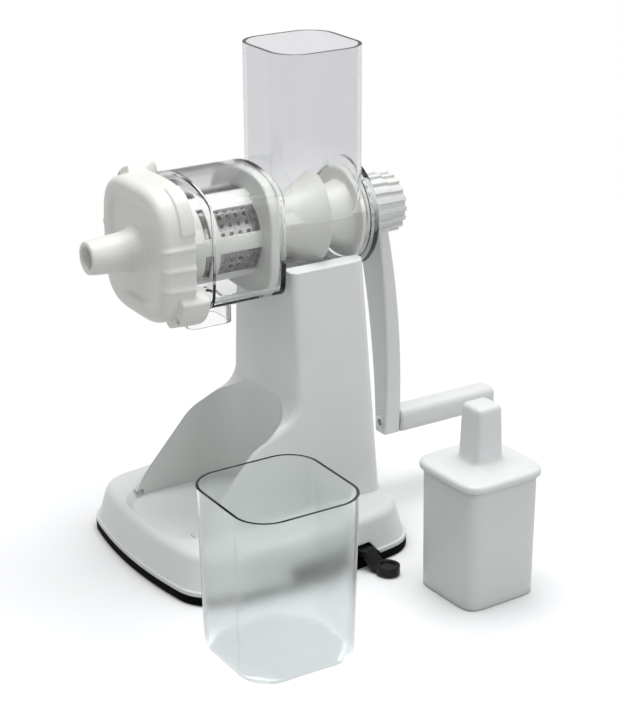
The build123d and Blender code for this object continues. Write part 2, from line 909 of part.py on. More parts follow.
# Drive shaft: a steel rod moulded into the auger, with a square for the crank and a thread
# for the lock knob behind it
with BuildPart() as drive_shaft:
    with BuildSketch(across(hub_front)):
        Circle(shaft_radius)
    extrude(amount=hub_front - shaft_front)
    with BuildSketch(across(hub_rear - knob_gap)):
        RectangleRounded(shaft_square, shaft_square, shaft_edge_radius)
    extrude(amount=hub_rear - knob_gap - hub_front)
    with BuildSketch(across(shaft_end)):
        Circle(thread_radius)
    extrude(amount=shaft_end - hub_rear + knob_gap)
    chamfer(drive_shaft.faces().sort_by(Axis.Y)[-1].edges(), shaft_edge_radius)
drive_shaft.part.label = "drive_shaft"
export_step(drive_shaft.part, "parts/drive_shaft.step")

# Shaft seal: a flat soft ring round the flange of the bush
with BuildPart() as shaft_seal:
    with BuildSketch(across(barrel_rear_wall)):
        Circle(seal_radius)
        Circle(bush_flange_radius + running_gap, mode=Mode.SUBTRACT)
    extrude(amount=bush_flange_thickness)
shaft_seal.part.label = "shaft_seal"
export_step(shaft_seal.part, "parts/shaft_seal.step")

# ------------------------------------------------------------------ end cap
cap_step = cage_front - cap_fit * 2
cap_bore = collar_radius + cap_fit * 3
lug_top = collar_radius + lug_height
funnel_end = cap_face + panel_recess + cap_wall


def cap_outline(inset):
    """Outline of the end cap, drawn in by an inset."""
    corner = max(cap_corner_radius - inset * 0.5, cap_corner_radius / 3)
    return bowed_rectangle(cap_width, cap_height, cap_side_bow, cap_top_bow, corner, inset)


def opposite_sectors(first, last):
    """Two opposite sectors, from inside the cap's bore to beyond its outline."""
    one = sector(cap_bore / 2, cap_width, first, last)
    return one + one.rotate(Axis.Z, 180)


# End cap: a tapered rounded square with a recessed face round the pulp nozzle, grip ribs on its
# sides, two smooth pads and two hooked ears that turn over the lugs of the drum's collar
with BuildPart() as end_cap:
    with BuildSketch(across(cap_rear)):
        add(cap_outline(0))
    with BuildSketch(across(cap_face)):
        add(cap_outline(cap_draft))
    loft(ruled=True)
    fillet(end_cap.faces().sort_by(Axis.Y)[0].edges(), cap_edge_radius)
    with BuildSketch(across(cap_rear)):
        add(cap_outline(-cap_lip))
    extrude(amount=cap_lip * 2)
    # smooth pads over two opposite corners, reaching back past the rim
    with BuildSketch(across(ear_rear)):
        add(cap_outline(-pad_rise))
        add(opposite_sectors(pad_first_angle, pad_last_angle), mode=Mode.INTERSECT)
    extrude(amount=ear_rear - pad_front)
    # hooked ears over the other two corners
    with BuildSketch(across(ear_rear)):
        add(cap_outline(-ear_rise))
        add(opposite_sectors(ear_first_angle, ear_last_angle), mode=Mode.INTERSECT)
    extrude(amount=ear_rear - ear_front)
    # grip ribs that follow the taper of both sides
    for flank in (1, -1):
        flank_plane = Plane(
            origin=(
                flank * (cap_width / 2 + cap_side_bow),
                cap_rear,
                auger_axis_height + grip_rib_center,
            ),
            x_dir=(0, 0, 1),
            z_dir=(-flank * cap_draft, cap_face - cap_rear, 0),
        )
        with BuildSketch(flank_plane):
            with GridLocations(grip_rib_pitch, 0, grip_rib_count, 1):
                Circle(grip_rib_radius)
    extrude(amount=cap_rear - cap_face - cap_edge_radius)
    # recessed face
    with BuildSketch(across(cap_face)):
        add(cap_outline(panel_inset))
    extrude(amount=-panel_recess, mode=Mode.SUBTRACT)
    # nozzle
    with BuildSketch(side):
        with BuildLine():
            nozzle_neck = cap_face - nozzle_flare_length
            Line((funnel_end, 0), (funnel_end, nozzle_root_radius))
            Line((funnel_end, nozzle_root_radius), (cap_face + panel_recess, nozzle_root_radius))
            ThreePointArc(
                (cap_face + panel_recess, nozzle_root_radius),
                ((cap_face + nozzle_neck) / 2 + panel_recess, nozzle_waist_radius),
                (nozzle_neck, nozzle_neck_radius),
            )
            Line((nozzle_neck, nozzle_neck_radius), (nozzle_tip, nozzle_tip_radius))
            Line((nozzle_tip, nozzle_tip_radius), (nozzle_tip, 0))
            Line((nozzle_tip, 0), (funnel_end, 0))
        make_face()
    revolve(axis=auger_axis)
    # bore over the collar, funnel and nozzle bore
    with BuildSketch(side):
        with BuildLine():
            Polyline(
                (ear_rear, 0),
                (ear_rear, cap_bore),
                (cap_step, cap_bore),
                (cap_step, cage_radius - cage_wall),
                (funnel_end, nozzle_bore_radius + cap_wall),
                (funnel_end, nozzle_bore_radius),
                (nozzle_tip, nozzle_bore_radius),
                (nozzle_tip, 0),
                close=True,
            )
        make_face()
    revolve(axis=auger_axis, mode=Mode.SUBTRACT)
    # slots for the lugs, open on the side they turn out of, each with a small draining hole
    with BuildSketch(across(lug_rear + lug_gap)):
        slot = opposite_sectors(lug_angle - slot_closed_angle, lug_angle + slot_open_angle)
        add(slot)
        Circle(lug_top + lug_gap, mode=Mode.INTERSECT)
    extrude(amount=lug_length + lug_gap * 2, mode=Mode.SUBTRACT)
    for angle in (lug_angle, lug_angle + 180):
        outward = (cos(radians(angle)), 0, sin(radians(angle)))
        hole_center = (0, lug_rear - lug_length / 2, auger_axis_height)
        with BuildSketch(Plane(origin=hole_center, x_dir=(0, 1, 0), z_dir=outward)):
            Circle(ear_hole_radius)
        extrude(amount=cap_width, mode=Mode.SUBTRACT)
end_cap.part.label = "end_cap"
export_step(end_cap.part, "parts/end_cap.step")

# Cap seal: a soft ring between the collar's end and the step inside the cap
with BuildPart() as cap_seal:
    with BuildSketch(across(collar_front)):
        Circle(cap_bore - cap_fit)
        Circle(collar_bore, mode=Mode.SUBTRACT)
    extrude(amount=collar_front - cap_step)
cap_seal.part.label = "cap_seal"
export_step(cap_seal.part, "parts/cap_seal.step")

# ------------------------------------------------------------------ crank
arm_foot_height = auger_axis_height - crank_radius - grip_height / 2
grip_axis_height = auger_axis_height - crank_radius
grip_front = arm_rear_foot + washer_thickness + knob_gap * 2
grip_screw_tip = grip_front + grip_screw_reach
grip_axis = Axis((0, 0, grip_axis_height), (0, 1, 0))
knob_front = hub_rear + knob_gap


def ribbed_disc(radius, rib_rise, rib_width, rib_count):
    """Round outline with square ribs standing out all round it."""
    with BuildSketch() as outline:
        Circle(radius)
        with PolarLocations(radius, rib_count):
            Rectangle(rib_rise * 2, rib_width)
    return outline.sketch


# Crank arm: a ribbed hub with a square socket, and a bowed arm that tapers to the grip
with BuildPart() as crank_arm:
    with BuildSketch(Plane.YZ):
        with BuildLine():
            Line((arm_front_top, auger_axis_height), (arm_rear_top, auger_axis_height))
            ThreePointArc(
                (arm_rear_top, auger_axis_height),
                (arm_rear_mid, auger_axis_height - crank_radius * arm_mid_share),
                (arm_rear_foot, arm_foot_height),
            )
            Line((arm_rear_foot, arm_foot_height), (arm_front_foot, arm_foot_height))
            ThreePointArc(
                (arm_front_foot, arm_foot_height),
                (arm_front_mid, auger_axis_height - crank_radius * arm_mid_share),
                (arm_front_top, auger_axis_height),
            )
        make_face()
    extrude(amount=arm_top_width, both=True)
    with BuildSketch(Plane.XZ):
        with BuildLine():
            Polyline(
                (-arm_top_width / 2, auger_axis_height),
                (arm_top_width / 2, auger_axis_height),
                (arm_foot_width / 2, arm_foot_height),
                (-arm_foot_width / 2, arm_foot_height),
                close=True,
            )
        make_face()
    extrude(amount=-arm_rear_foot * 1.2, mode=Mode.INTERSECT)
    fillet(crank_arm.edges().filter_by(lambda e: e.bounding_box().size.Z > hub_radius), arm_edge_radius)
    with BuildSketch(across(knob_front + knob_length)):
        Circle(knob_radius + knob_rib_rise + knob_clearance)
    extrude(amount=knob_length + knob_gap, mode=Mode.SUBTRACT)
    with BuildSketch(across(hub_rear)):
        add(ribbed_disc(hub_radius, hub_rib_rise, hub_rib_width, hub_rib_count))
    extrude(amount=hub_rear - hub_front - hub_collar)
    with BuildSketch(across(hub_rear)):
        Circle(hub_radius)
    extrude(amount=hub_rear - hub_front)
    with BuildSketch(across(hub_rear)):
        Rectangle(shaft_square + square_gap * 2, shaft_square + square_gap * 2)
    extrude(amount=hub_rear - hub_front, mode=Mode.SUBTRACT)
    with BuildSketch(Plane.XZ.offset(-arm_front_foot + washer_thickness)):
        with Locations((0, grip_axis_height)):
            Circle(grip_screw_radius + running_gap)
    extrude(amount=-crank_radius, mode=Mode.SUBTRACT)
    with BuildSketch(Plane.XZ.offset(-arm_front_foot + washer_thickness)):
        with Locations((0, grip_axis_height)):
            Circle(grip_screw_head_radius + running_gap)
    extrude(amount=-washer_thickness - grip_screw_head_height, mode=Mode.SUBTRACT)
crank_arm.part.label = "crank_arm"
export_step(crank_arm.part, "parts/crank_arm.step")

# Thrust washer between the auger's journal and the crank hub
with BuildPart() as thrust_washer:
    with BuildSketch(across(hub_front - knob_gap)):
        Circle(thrust_washer_radius)
        Circle(shaft_radius + running_gap, mode=Mode.SUBTRACT)
    extrude(amount=hub_front - journal_end - knob_gap * 2)
thrust_washer.part.label = "thrust_washer"
export_step(thrust_washer.part, "parts/thrust_washer.step")

# Grip pin: a headed pin let into the arm's foot, with a barbed end inside the grip
with BuildPart() as grip_pin:
    with BuildSketch(Plane.YZ):
        with BuildLine():
            Polyline(
                (arm_front_foot, grip_axis_height),
                (arm_front_foot, grip_axis_height + grip_screw_head_radius),
                (arm_front_foot + grip_screw_head_height, grip_axis_height + grip_screw_head_radius),
                (arm_front_foot + grip_screw_head_height, grip_axis_height + grip_screw_radius),
                (grip_screw_tip - grip_barb_length, grip_axis_height + grip_screw_radius),
                (grip_screw_tip - grip_barb_length, grip_axis_height + grip_barb_radius),
                (grip_screw_tip, grip_axis_height + grip_screw_radius),
                (grip_screw_tip, grip_axis_height),
                close=True,
            )
        make_face()
    revolve(axis=grip_axis)
    with BuildSketch(Plane.XZ.offset(-arm_front_foot)):
        with Locations((0, grip_axis_height)):
            RegularPolygon(grip_screw_head_radius / 2, 6)
    extrude(amount=-grip_screw_head_height / 2, mode=Mode.SUBTRACT)
grip_pin.part.label = "grip_pin"
export_step(grip_pin.part, "parts/grip_pin.step")

# Washer between the arm's foot and the grip
with BuildPart() as grip_washer:
    with BuildSketch(Plane.XZ.offset(-arm_rear_foot - knob_gap)):
        with Locations((0, grip_axis_height)):
            Circle(arm_foot_width / 2)
            Circle(grip_screw_radius + running_gap, mode=Mode.SUBTRACT)
    extrude(amount=-washer_thickness)
grip_washer.part.label = "grip_washer"
export_step(grip_washer.part, "parts/grip_washer.step")

# Grip: a flattened bar that turns on its pin
with BuildPart() as grip:
    with BuildSketch(Plane.XZ.offset(-grip_front)):
        with Locations((0, grip_axis_height)):
            RectangleRounded(grip_width, grip_height, grip_corner_radius)
    extrude(amount=-grip_length)
    fillet(grip.faces().sort_by(Axis.Y)[-1].edges(), grip_end_radius)
    groove_front = grip_screw_tip - grip_barb_length - knob_gap
    bore_height = grip_axis_height + grip_screw_radius + running_gap
    groove_height = grip_axis_height + grip_barb_radius + knob_gap
    with BuildSketch(Plane.YZ):
        with BuildLine():
            Polyline(
                (grip_front, grip_axis_height),
                (grip_front, bore_height),
                (groove_front, bore_height),
                (groove_front, groove_height),
                (grip_screw_tip + washer_thickness, groove_height),
                (grip_screw_tip + washer_thickness, grip_axis_height),
                close=True,
            )
        make_face()
    revolve(axis=grip_axis, mode=Mode.SUBTRACT)
grip.part.label = "grip"
export_step(grip.part, "parts/grip.step")

# ------------------------------------------------------------------ lock knob
knob_rear = knob_front + knob_length

# Lock knob: a ribbed nut that holds the crank on the shaft
with BuildPart() as lock_knob:
    with BuildSketch(across(knob_rear)):
        add(ribbed_disc(knob_radius, knob_rib_rise, knob_rib_width, knob_rib_count))
    extrude(amount=knob_length)
    with BuildSketch(across(knob_rear + knob_crown)):
        Circle(knob_radius - knob_crown)
    extrude(amount=knob_crown)
    fillet(lock_knob.faces().sort_by(Axis.Y)[-1].edges(), knob_crown * 0.9)
    with BuildSketch(across(knob_front + insert_length)):
        Circle(insert_radius)
    extrude(amount=insert_length, mode=Mode.SUBTRACT)
lock_knob.part.label = "lock_knob"
export_step(lock_knob.part, "parts/lock_knob.step")

# Threaded insert moulded into the lock knob
with BuildPart() as knob_insert:
    with BuildSketch(across(knob_front + insert_length)):
        RegularPolygon(insert_radius, 6, major_radius=True)
        Circle(thread_radius + running_gap, mode=Mode.SUBTRACT)
    extrude(amount=insert_length)
knob_insert.part.label = "knob_insert"
export_step(knob_insert.part, "parts/knob_insert.step")

# ------------------------------------------------------------------ cup and pusher
cup_place = Plane(origin=(cup_x, cup_y, 0))
pusher_place = Plane(origin=(pusher_x, pusher_y, 0)).rotated((0, 0, pusher_yaw))


def tapered_block(place, low, high, low_width, high_width, low_radius, high_radius):
    """Upright block of rounded-square section that widens from one height to another."""
    with BuildPart() as block:
        with BuildSketch(place.offset(low)):
            RectangleRounded(low_width, low_width, low_radius)
        with BuildSketch(place.offset(high)):
            RectangleRounded(high_width, high_width, high_radius)
        loft(ruled=True)
    return block.part


# Cup: a clear tumbler of rounded-square section with a slight draft
with BuildPart() as cup:
    add(
        tapered_block(
            cup_place,
            0,
            cup_height,
            cup_bottom_width,
            cup_top_width,
            cup_corner_radius,
            cup_corner_radius,
        )
    )
    fillet(cup.faces().sort_by(Axis.Z)[0].edges(), cup_foot_radius)
    add(
        tapered_block(
            cup_place,
            cup_floor,
            cup_height,
            cup_bottom_width - cup_wall * 2,
            cup_top_width - cup_wall * 2,
            cup_corner_radius - cup_wall,
            cup_corner_radius - cup_wall,
        ),
        mode=Mode.SUBTRACT,
    )
cup.part.label = "cup"
export_step(cup.part, "parts/cup.step")

# Pusher body: an open box of rounded-square section that slides down the hopper
with BuildPart() as pusher_body:
    add(
        tapered_block(
            pusher_place,
            0,
            pusher_body_height,
            pusher_body_width - pusher_draft * 2,
            pusher_body_width,
            pusher_body_radius,
            pusher_body_radius,
        )
    )
    fillet(pusher_body.faces().sort_by(Axis.Z)[0].edges(), pusher_draft)
    add(
        tapered_block(
            pusher_place,
            pusher_wall,
            pusher_body_height,
            pusher_body_width - pusher_draft * 2 - pusher_wall * 2,
            pusher_body_width - pusher_wall * 2,
            pusher_body_radius - pusher_wall,
            pusher_body_radius - pusher_wall,
        ),
        mode=Mode.SUBTRACT,
    )
pusher_body.part.label = "pusher_body"
export_step(pusher_body.part, "parts/pusher_body.step")

# Pusher top: a domed flange that stops on the hopper's rim, with a square handle and a plug
# that seats in the body
flange_top = pusher_body_height + pusher_flange_thickness
with BuildPart() as pusher_top:
    with BuildSketch(pusher_place.offset(pusher_body_height)):
        RectangleRounded(pusher_flange_width, pusher_flange_width, pusher_flange_radius)
    extrude(amount=pusher_flange_thickness)
    with BuildSketch(pusher_place.offset(flange_top)):
        RectangleRounded(
            pusher_flange_width - pusher_crown * 2,
            pusher_flange_width - pusher_crown * 2,
            pusher_flange_radius - pusher_crown,
        )
    with BuildSketch(pusher_place.offset(flange_top + pusher_crown)):
        RectangleRounded(
            pusher_handle_width + pusher_crown * 2,
            pusher_handle_width + pusher_crown * 2,
            pusher_handle_radius + pusher_crown,
        )
    loft(ruled=True)
    with BuildSketch(pusher_place.offset(flange_top)):
        RectangleRounded(pusher_handle_width, pusher_handle_width, pusher_handle_radius)
    with BuildSketch(pusher_place.offset(pusher_handle_top)):
        RectangleRounded(pusher_handle_top_width, pusher_handle_top_width, pusher_handle_radius)
    loft(ruled=True)
    fillet(pusher_top.faces().sort_by(Axis.Z)[-1].edges(), pusher_handle_edge)
    with BuildSketch(pusher_place.offset(pusher_body_height)):
        plug_width = pusher_body_width - pusher_wall * 2 - pusher_fit * 2
        plug_radius = pusher_body_radius - pusher_wall
        RectangleRounded(plug_width, plug_width, plug_radius)
        RectangleRounded(
            plug_width - pusher_wall * 2,
            plug_width - pusher_wall * 2,
            plug_radius - pusher_wall,
            mode=Mode.SUBTRACT,
        )
    extrude(amount=-pusher_plug_depth)
pusher_top.part.label = "pusher_top"
export_step(pusher_top.part, "parts/pusher_top.step")
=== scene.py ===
from math import cos, pi, radians, sin, tan

import bmesh
import bpy
import numpy as np
from mathutils import Matrix, Vector


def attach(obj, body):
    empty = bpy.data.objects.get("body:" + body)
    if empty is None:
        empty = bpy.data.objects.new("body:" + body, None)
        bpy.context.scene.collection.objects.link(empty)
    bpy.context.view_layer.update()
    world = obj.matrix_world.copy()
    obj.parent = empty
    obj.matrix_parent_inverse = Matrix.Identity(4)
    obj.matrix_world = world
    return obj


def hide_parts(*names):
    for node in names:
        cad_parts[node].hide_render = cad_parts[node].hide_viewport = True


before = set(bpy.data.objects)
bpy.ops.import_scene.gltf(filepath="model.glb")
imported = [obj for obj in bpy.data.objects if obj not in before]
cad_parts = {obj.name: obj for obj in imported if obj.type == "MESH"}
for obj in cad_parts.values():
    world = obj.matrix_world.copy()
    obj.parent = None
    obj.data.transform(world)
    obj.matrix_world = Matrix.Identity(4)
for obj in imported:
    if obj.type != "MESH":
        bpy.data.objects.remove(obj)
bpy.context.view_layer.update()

# ---------------------------------------------------------------- stand
# The stand is one hollow injection moulding in glossy white ABS: a bowed square foot, a column
# with two wings round the cup's seat, and a saddle on top in which the clear drum lies.
stand_shade = (0.690, 0.715, 0.700, 1.0)
stand_light = (0.765, 0.790, 0.772, 1.0)


def moulded_plastic(name, shade, light, roughness, spread, peel, edge):
    """Moulded plastic. Its colour is shade + (light - shade) * n, with n a broad noise of the
    place in the piece plus a fine speckle; its roughness is roughness +- spread by a second
    noise; its surface carries an orange peel of height peel and edges rounded to edge metres."""
    finish = bpy.data.materials.new(name)
    finish.use_nodes = True
    tree = finish.node_tree
    shader = tree.nodes["Principled BSDF"]
    place = tree.nodes.new("ShaderNodeTexCoord")

    def noise(scale, detail):
        grain = tree.nodes.new("ShaderNodeTexNoise")
        grain.inputs["Scale"].default_value = scale
        grain.inputs["Detail"].default_value = detail
        tree.links.new(place.outputs["Object"], grain.inputs["Vector"])
        return grain.outputs["Fac"]

    def spread_over(value, low, high, least, most):
        reach = tree.nodes.new("ShaderNodeMapRange")
        reach.inputs["From Min"].default_value = low
        reach.inputs["From Max"].default_value = high
        reach.inputs["To Min"].default_value = least
        reach.inputs["To Max"].default_value = most
        tree.links.new(value, reach.inputs["Value"])
        return reach.outputs["Result"]

    cloud = spread_over(noise(11.0, 3.0), 0.3, 0.7, 0.25, 0.95)
    speckle = spread_over(noise(650.0, 2.0), 0.3, 0.7, -0.12, 0.12)
    both = tree.nodes.new("ShaderNodeMath")
    both.operation = "ADD"
    both.use_clamp = True
    tree.links.new(cloud, both.inputs[0])
    tree.links.new(speckle, both.inputs[1])
    blend = tree.nodes.new("ShaderNodeMix")
    blend.data_type = "RGBA"
    blend.inputs["A"].default_value = shade
    blend.inputs["B"].default_value = light
    tree.links.new(both.outputs[0], blend.inputs["Factor"])
    tree.links.new(blend.outputs["Result"], shader.inputs["Base Color"])
    worn = spread_over(noise(85.0, 4.0), 0.3, 0.7, roughness - spread, roughness + spread)
    tree.links.new(worn, shader.inputs["Roughness"])
    rounded = tree.nodes.new("ShaderNodeBevel")
    rounded.samples = 4
    rounded.inputs["Radius"].default_value = edge
    bump = tree.nodes.new("ShaderNodeBump")
    bump.inputs["Strength"].default_value = 0.35
    bump.inputs["Distance"].default_value = peel
    tree.links.new(noise(900.0, 3.0), bump.inputs["Height"])
    tree.links.new(rounded.outputs["Normal"], bump.inputs["Normal"])
    tree.links.new(bump.outputs["Normal"], shader.inputs["Normal"])
    shader.inputs["IOR"].default_value = 1.5
    return finish


def dress(node, finish):
    """Gives every material slot of a solid this finish."""
    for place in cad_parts[node].material_slots:
        place.material = finish


stand_white = moulded_plastic("stand_white", stand_shade, stand_light, 0.34, 0.05, 0.00006, 0.0012)
dress("pedestal", stand_white)

# ---------------------------------------------------------------- foot
# A grey plate, moulded in recycled ABS, closes the foot from below. Four screws hold it to bosses
# inside the skirt, and its collar guides the stud of the suction pad.
dress(
    "foot_plate",
    moulded_plastic("plate_grey", (0.17, 0.17, 0.175, 1), (0.25, 0.25, 0.255, 1), 0.55, 0.08, 0.0001, 0.0005),
)

# The suction pad is a ring and web of soft black rubber, pressed in a mould. It is matt, with a
# bloom of dust where it lies on the table.


def soft_rubber(name, deep, dusty, roughness):
    """Matt rubber: deep black turned towards a dusty grey by a noise of the place, over a fine
    tooth; the sheen of the dust is the shader's own."""
    finish = bpy.data.materials.new(name)
    finish.use_nodes = True
    tree = finish.node_tree
    shader = tree.nodes["Principled BSDF"]
    place = tree.nodes.new("ShaderNodeTexCoord")
    dust = tree.nodes.new("ShaderNodeTexNoise")
    dust.inputs["Scale"].default_value = 60.0
    dust.inputs["Detail"].default_value = 5.0
    tree.links.new(place.outputs["Object"], dust.inputs["Vector"])
    ramp = tree.nodes.new("ShaderNodeValToRGB")
    ramp.color_ramp.elements[0].position = 0.35
    ramp.color_ramp.elements[0].color = deep
    ramp.color_ramp.elements[1].position = 0.85
    ramp.color_ramp.elements[1].color = dusty
    tree.links.new(dust.outputs["Fac"], ramp.inputs["Fac"])
    tree.links.new(ramp.outputs["Color"], shader.inputs["Base Color"])
    tooth = tree.nodes.new("ShaderNodeTexNoise")
    tooth.inputs["Scale"].default_value = 1400.0
    tree.links.new(place.outputs["Object"], tooth.inputs["Vector"])
    bump = tree.nodes.new("ShaderNodeBump")
    bump.inputs["Strength"].default_value = 0.5
    bump.inputs["Distance"].default_value = 0.0001
    tree.links.new(tooth.outputs["Fac"], bump.inputs["Height"])
    tree.links.new(bump.outputs["Normal"], shader.inputs["Normal"])
    shader.inputs["Roughness"].default_value = roughness
    shader.inputs["Specular IOR Level"].default_value = 0.06
    return finish


pad_rubber = soft_rubber("pad_rubber", (0.0006, 0.0006, 0.0008, 1), (0.003, 0.003, 0.0032, 1), 0.75)
dress("suction_pad", pad_rubber)

# Plated steel: the screws that hold the plate, and the stud whose head is moulded into the
# rubber web and whose flatted neck the lever turns on.


def turned_steel(name, dark, bright, roughness, axis):
    """Steel turned or drawn along one axis: fine lines, a noise stretched round that axis, vary
    its colour between dark and bright and its roughness a little."""
    finish = bpy.data.materials.new(name)
    finish.use_nodes = True
    tree = finish.node_tree
    shader = tree.nodes["Principled BSDF"]
    place = tree.nodes.new("ShaderNodeTexCoord")
    stretch = tree.nodes.new("ShaderNodeMapping")
    stretch.inputs["Scale"].default_value = tuple(3000.0 if i == axis else 60.0 for i in range(3))
    tree.links.new(place.outputs["Object"], stretch.inputs["Vector"])
    lines = tree.nodes.new("ShaderNodeTexNoise")
    lines.inputs["Scale"].default_value = 1.0
    lines.inputs["Detail"].default_value = 3.0
    tree.links.new(stretch.outputs["Vector"], lines.inputs["Vector"])
    ramp = tree.nodes.new("ShaderNodeValToRGB")
    ramp.color_ramp.elements[0].position = 0.3
    ramp.color_ramp.elements[0].color = dark
    ramp.color_ramp.elements[1].position = 0.7
    ramp.color_ramp.elements[1].color = bright
    tree.links.new(lines.outputs["Fac"], ramp.inputs["Fac"])
    tree.links.new(ramp.outputs["Color"], shader.inputs["Base Color"])
    reach = tree.nodes.new("ShaderNodeMapRange")
    reach.inputs["To Min"].default_value = roughness * 0.7
    reach.inputs["To Max"].default_value = roughness * 1.3
    tree.links.new(lines.outputs["Fac"], reach.inputs["Value"])
    tree.links.new(reach.outputs["Result"], shader.inputs["Roughness"])
    shader.inputs["Metallic"].default_value = 1.0
    return finish


screw_steel = turned_steel("screw_steel", (0.42, 0.42, 0.43, 1), (0.66, 0.66, 0.67, 1), 0.3, 2)
dress("foot_screws", screw_steel)
dress("suction_stud", screw_steel)

# The suction lever is a black nylon arm with a dished thumb tab. It turns on the stud and comes
# out through the slot in the skirt.
lever_black = moulded_plastic(
    "lever_black", (0.0015, 0.0015, 0.002, 1), (0.005, 0.005, 0.0055, 1), 0.30, 0.06, 0.00008, 0.0008
)
lever_black.node_tree.nodes["Principled BSDF"].inputs["Specular IOR Level"].default_value = 0.25
dress("suction_lever", lever_black)

# ---------------------------------------------------------------- clear drum and hopper
# The drum, its hopper and its chute are one moulding in clear SAN with a faint grey-lilac tint.
# Two screws hold its foot down in the top of the column.


def clear_moulding(name, tint_low, tint_high, haze_low, haze_high, low, high, ripple, bend):
    """Clear plastic: light passes through with a tint and a haze (roughness) that go from their
    low to their high values between two heights; flow ripples bend the surface a little; bend is
    the index of refraction."""
    finish = bpy.data.materials.new(name)
    finish.use_nodes = True
    tree = finish.node_tree
    shader = tree.nodes["Principled BSDF"]
    place = tree.nodes.new("ShaderNodeTexCoord")
    split = tree.nodes.new("ShaderNodeSeparateXYZ")
    tree.links.new(place.outputs["Object"], split.inputs["Vector"])
    share = tree.nodes.new("ShaderNodeMapRange")
    share.inputs["From Min"].default_value = low
    share.inputs["From Max"].default_value = high
    tree.links.new(split.outputs["Z"], share.inputs["Value"])
    haze = tree.nodes.new("ShaderNodeMapRange")
    haze.inputs["To Min"].default_value = haze_low
    haze.inputs["To Max"].default_value = haze_high
    tree.links.new(share.outputs["Result"], haze.inputs["Value"])
    tree.links.new(haze.outputs["Result"], shader.inputs["Roughness"])
    flow = tree.nodes.new("ShaderNodeTexNoise")
    flow.inputs["Scale"].default_value = 34.0
    flow.inputs["Detail"].default_value = 2.0
    tree.links.new(place.outputs["Object"], flow.inputs["Vector"])
    bump = tree.nodes.new("ShaderNodeBump")
    bump.inputs["Strength"].default_value = 0.25
    bump.inputs["Distance"].default_value = ripple
    tree.links.new(flow.outputs["Fac"], bump.inputs["Height"])
    tree.links.new(bump.outputs["Normal"], shader.inputs["Normal"])
    tone = tree.nodes.new("ShaderNodeMix")
    tone.data_type = "RGBA"
    tone.inputs["A"].default_value = tint_low
    tone.inputs["B"].default_value = tint_high
    tree.links.new(share.outputs["Result"], tone.inputs["Factor"])
    tree.links.new(tone.outputs["Result"], shader.inputs["Base Color"])
    shader.inputs["Transmission Weight"].default_value = 1.0
    shader.inputs["IOR"].default_value = bend
    return finish


def polish_outside(finish, axis, polish):
    """Keeps a finish's haze on the faces that look towards an upright axis, and gives the faces
    that look away from it a polished roughness: (place - axis) . normal tells them apart."""
    tree = finish.node_tree
    shader = tree.nodes["Principled BSDF"]
    haze = shader.inputs["Roughness"].links[0].from_socket
    spot = tree.nodes.new("ShaderNodeNewGeometry")
    away = tree.nodes.new("ShaderNodeVectorMath")
    away.operation = "SUBTRACT"
    away.inputs[1].default_value = axis
    object_place = tree.nodes.new("ShaderNodeTexCoord")
    tree.links.new(object_place.outputs["Object"], away.inputs[0])
    facing = tree.nodes.new("ShaderNodeVectorMath")
    facing.operation = "DOT_PRODUCT"
    tree.links.new(away.outputs[0], facing.inputs[0])
    tree.links.new(spot.outputs["True Normal"], facing.inputs[1])
    behind = tree.nodes.new("ShaderNodeMath")
    behind.operation = "SUBTRACT"
    behind.inputs[0].default_value = 0.5
    tree.links.new(spot.outputs["Backfacing"], behind.inputs[1])
    signed = tree.nodes.new("ShaderNodeMath")
    signed.operation = "MULTIPLY"
    tree.links.new(facing.outputs["Value"], signed.inputs[0])
    tree.links.new(behind.outputs[0], signed.inputs[1])
    outside = tree.nodes.new("ShaderNodeMath")
    outside.operation = "GREATER_THAN"
    outside.inputs[1].default_value = 0.0
    tree.links.new(signed.outputs[0], outside.inputs[0])
    choice = tree.nodes.new("ShaderNodeMix")
    choice.inputs["B"].default_value = polish
    tree.links.new(outside.outputs[0], choice.inputs["Factor"])
    tree.links.new(haze, choice.inputs["A"])
    tree.links.new(choice.outputs["Result"], shader.inputs["Roughness"])


drum_clear = clear_moulding(
    "drum_clear", (0.925, 0.930, 0.935, 1), (0.790, 0.792, 0.808, 1), 0.0, 0.16, 0.214, 0.246, 0.0004, 1.42
)
polish_outside(drum_clear, (0.0, 0.0413, 0.2500), 0.02)
dress("drum", drum_clear)
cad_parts["drum"].visible_shadow = False
dress("drum_screws", screw_steel)

# The bush is a flanged sleeve of white acetal pressed into the drum's rear wall, and the seal is
# a flat ring of black rubber round its flange.
inner_white = moulded_plastic(
    "inner_white", (0.70, 0.715, 0.675, 1), (0.77, 0.785, 0.745, 1), 0.38, 0.05, 0.00005, 0.0008
)
dress("bush", inner_white)
dress("shaft_seal", pad_rubber)

# ---------------------------------------------------------------- screen cage and screen
# The cage is a white ABS sleeve with six windows and six ports behind the nozzle end. Its rear
# collar, a rounded square, fills the chamber and keeps the juice in front of it.
axis_height = 0.2025
cage_white = moulded_plastic(
    "cage_white", (0.60, 0.615, 0.58, 1), (0.68, 0.695, 0.66, 1), 0.42, 0.05, 0.00006, 0.0008
)
cage_skins = (0.0272, 0.0254)
cage_ends = (-0.0658, 0.0098)
window_middle = radians(35.0)
window_half = radians(19.5)
window_count = 6
window_bands = ((-0.0415, -0.0355), (-0.0315, -0.0037))
collar_ends = (-0.0034, 0.0030)
collar_half = (0.0362, 0.0372)
collar_power = 3.3


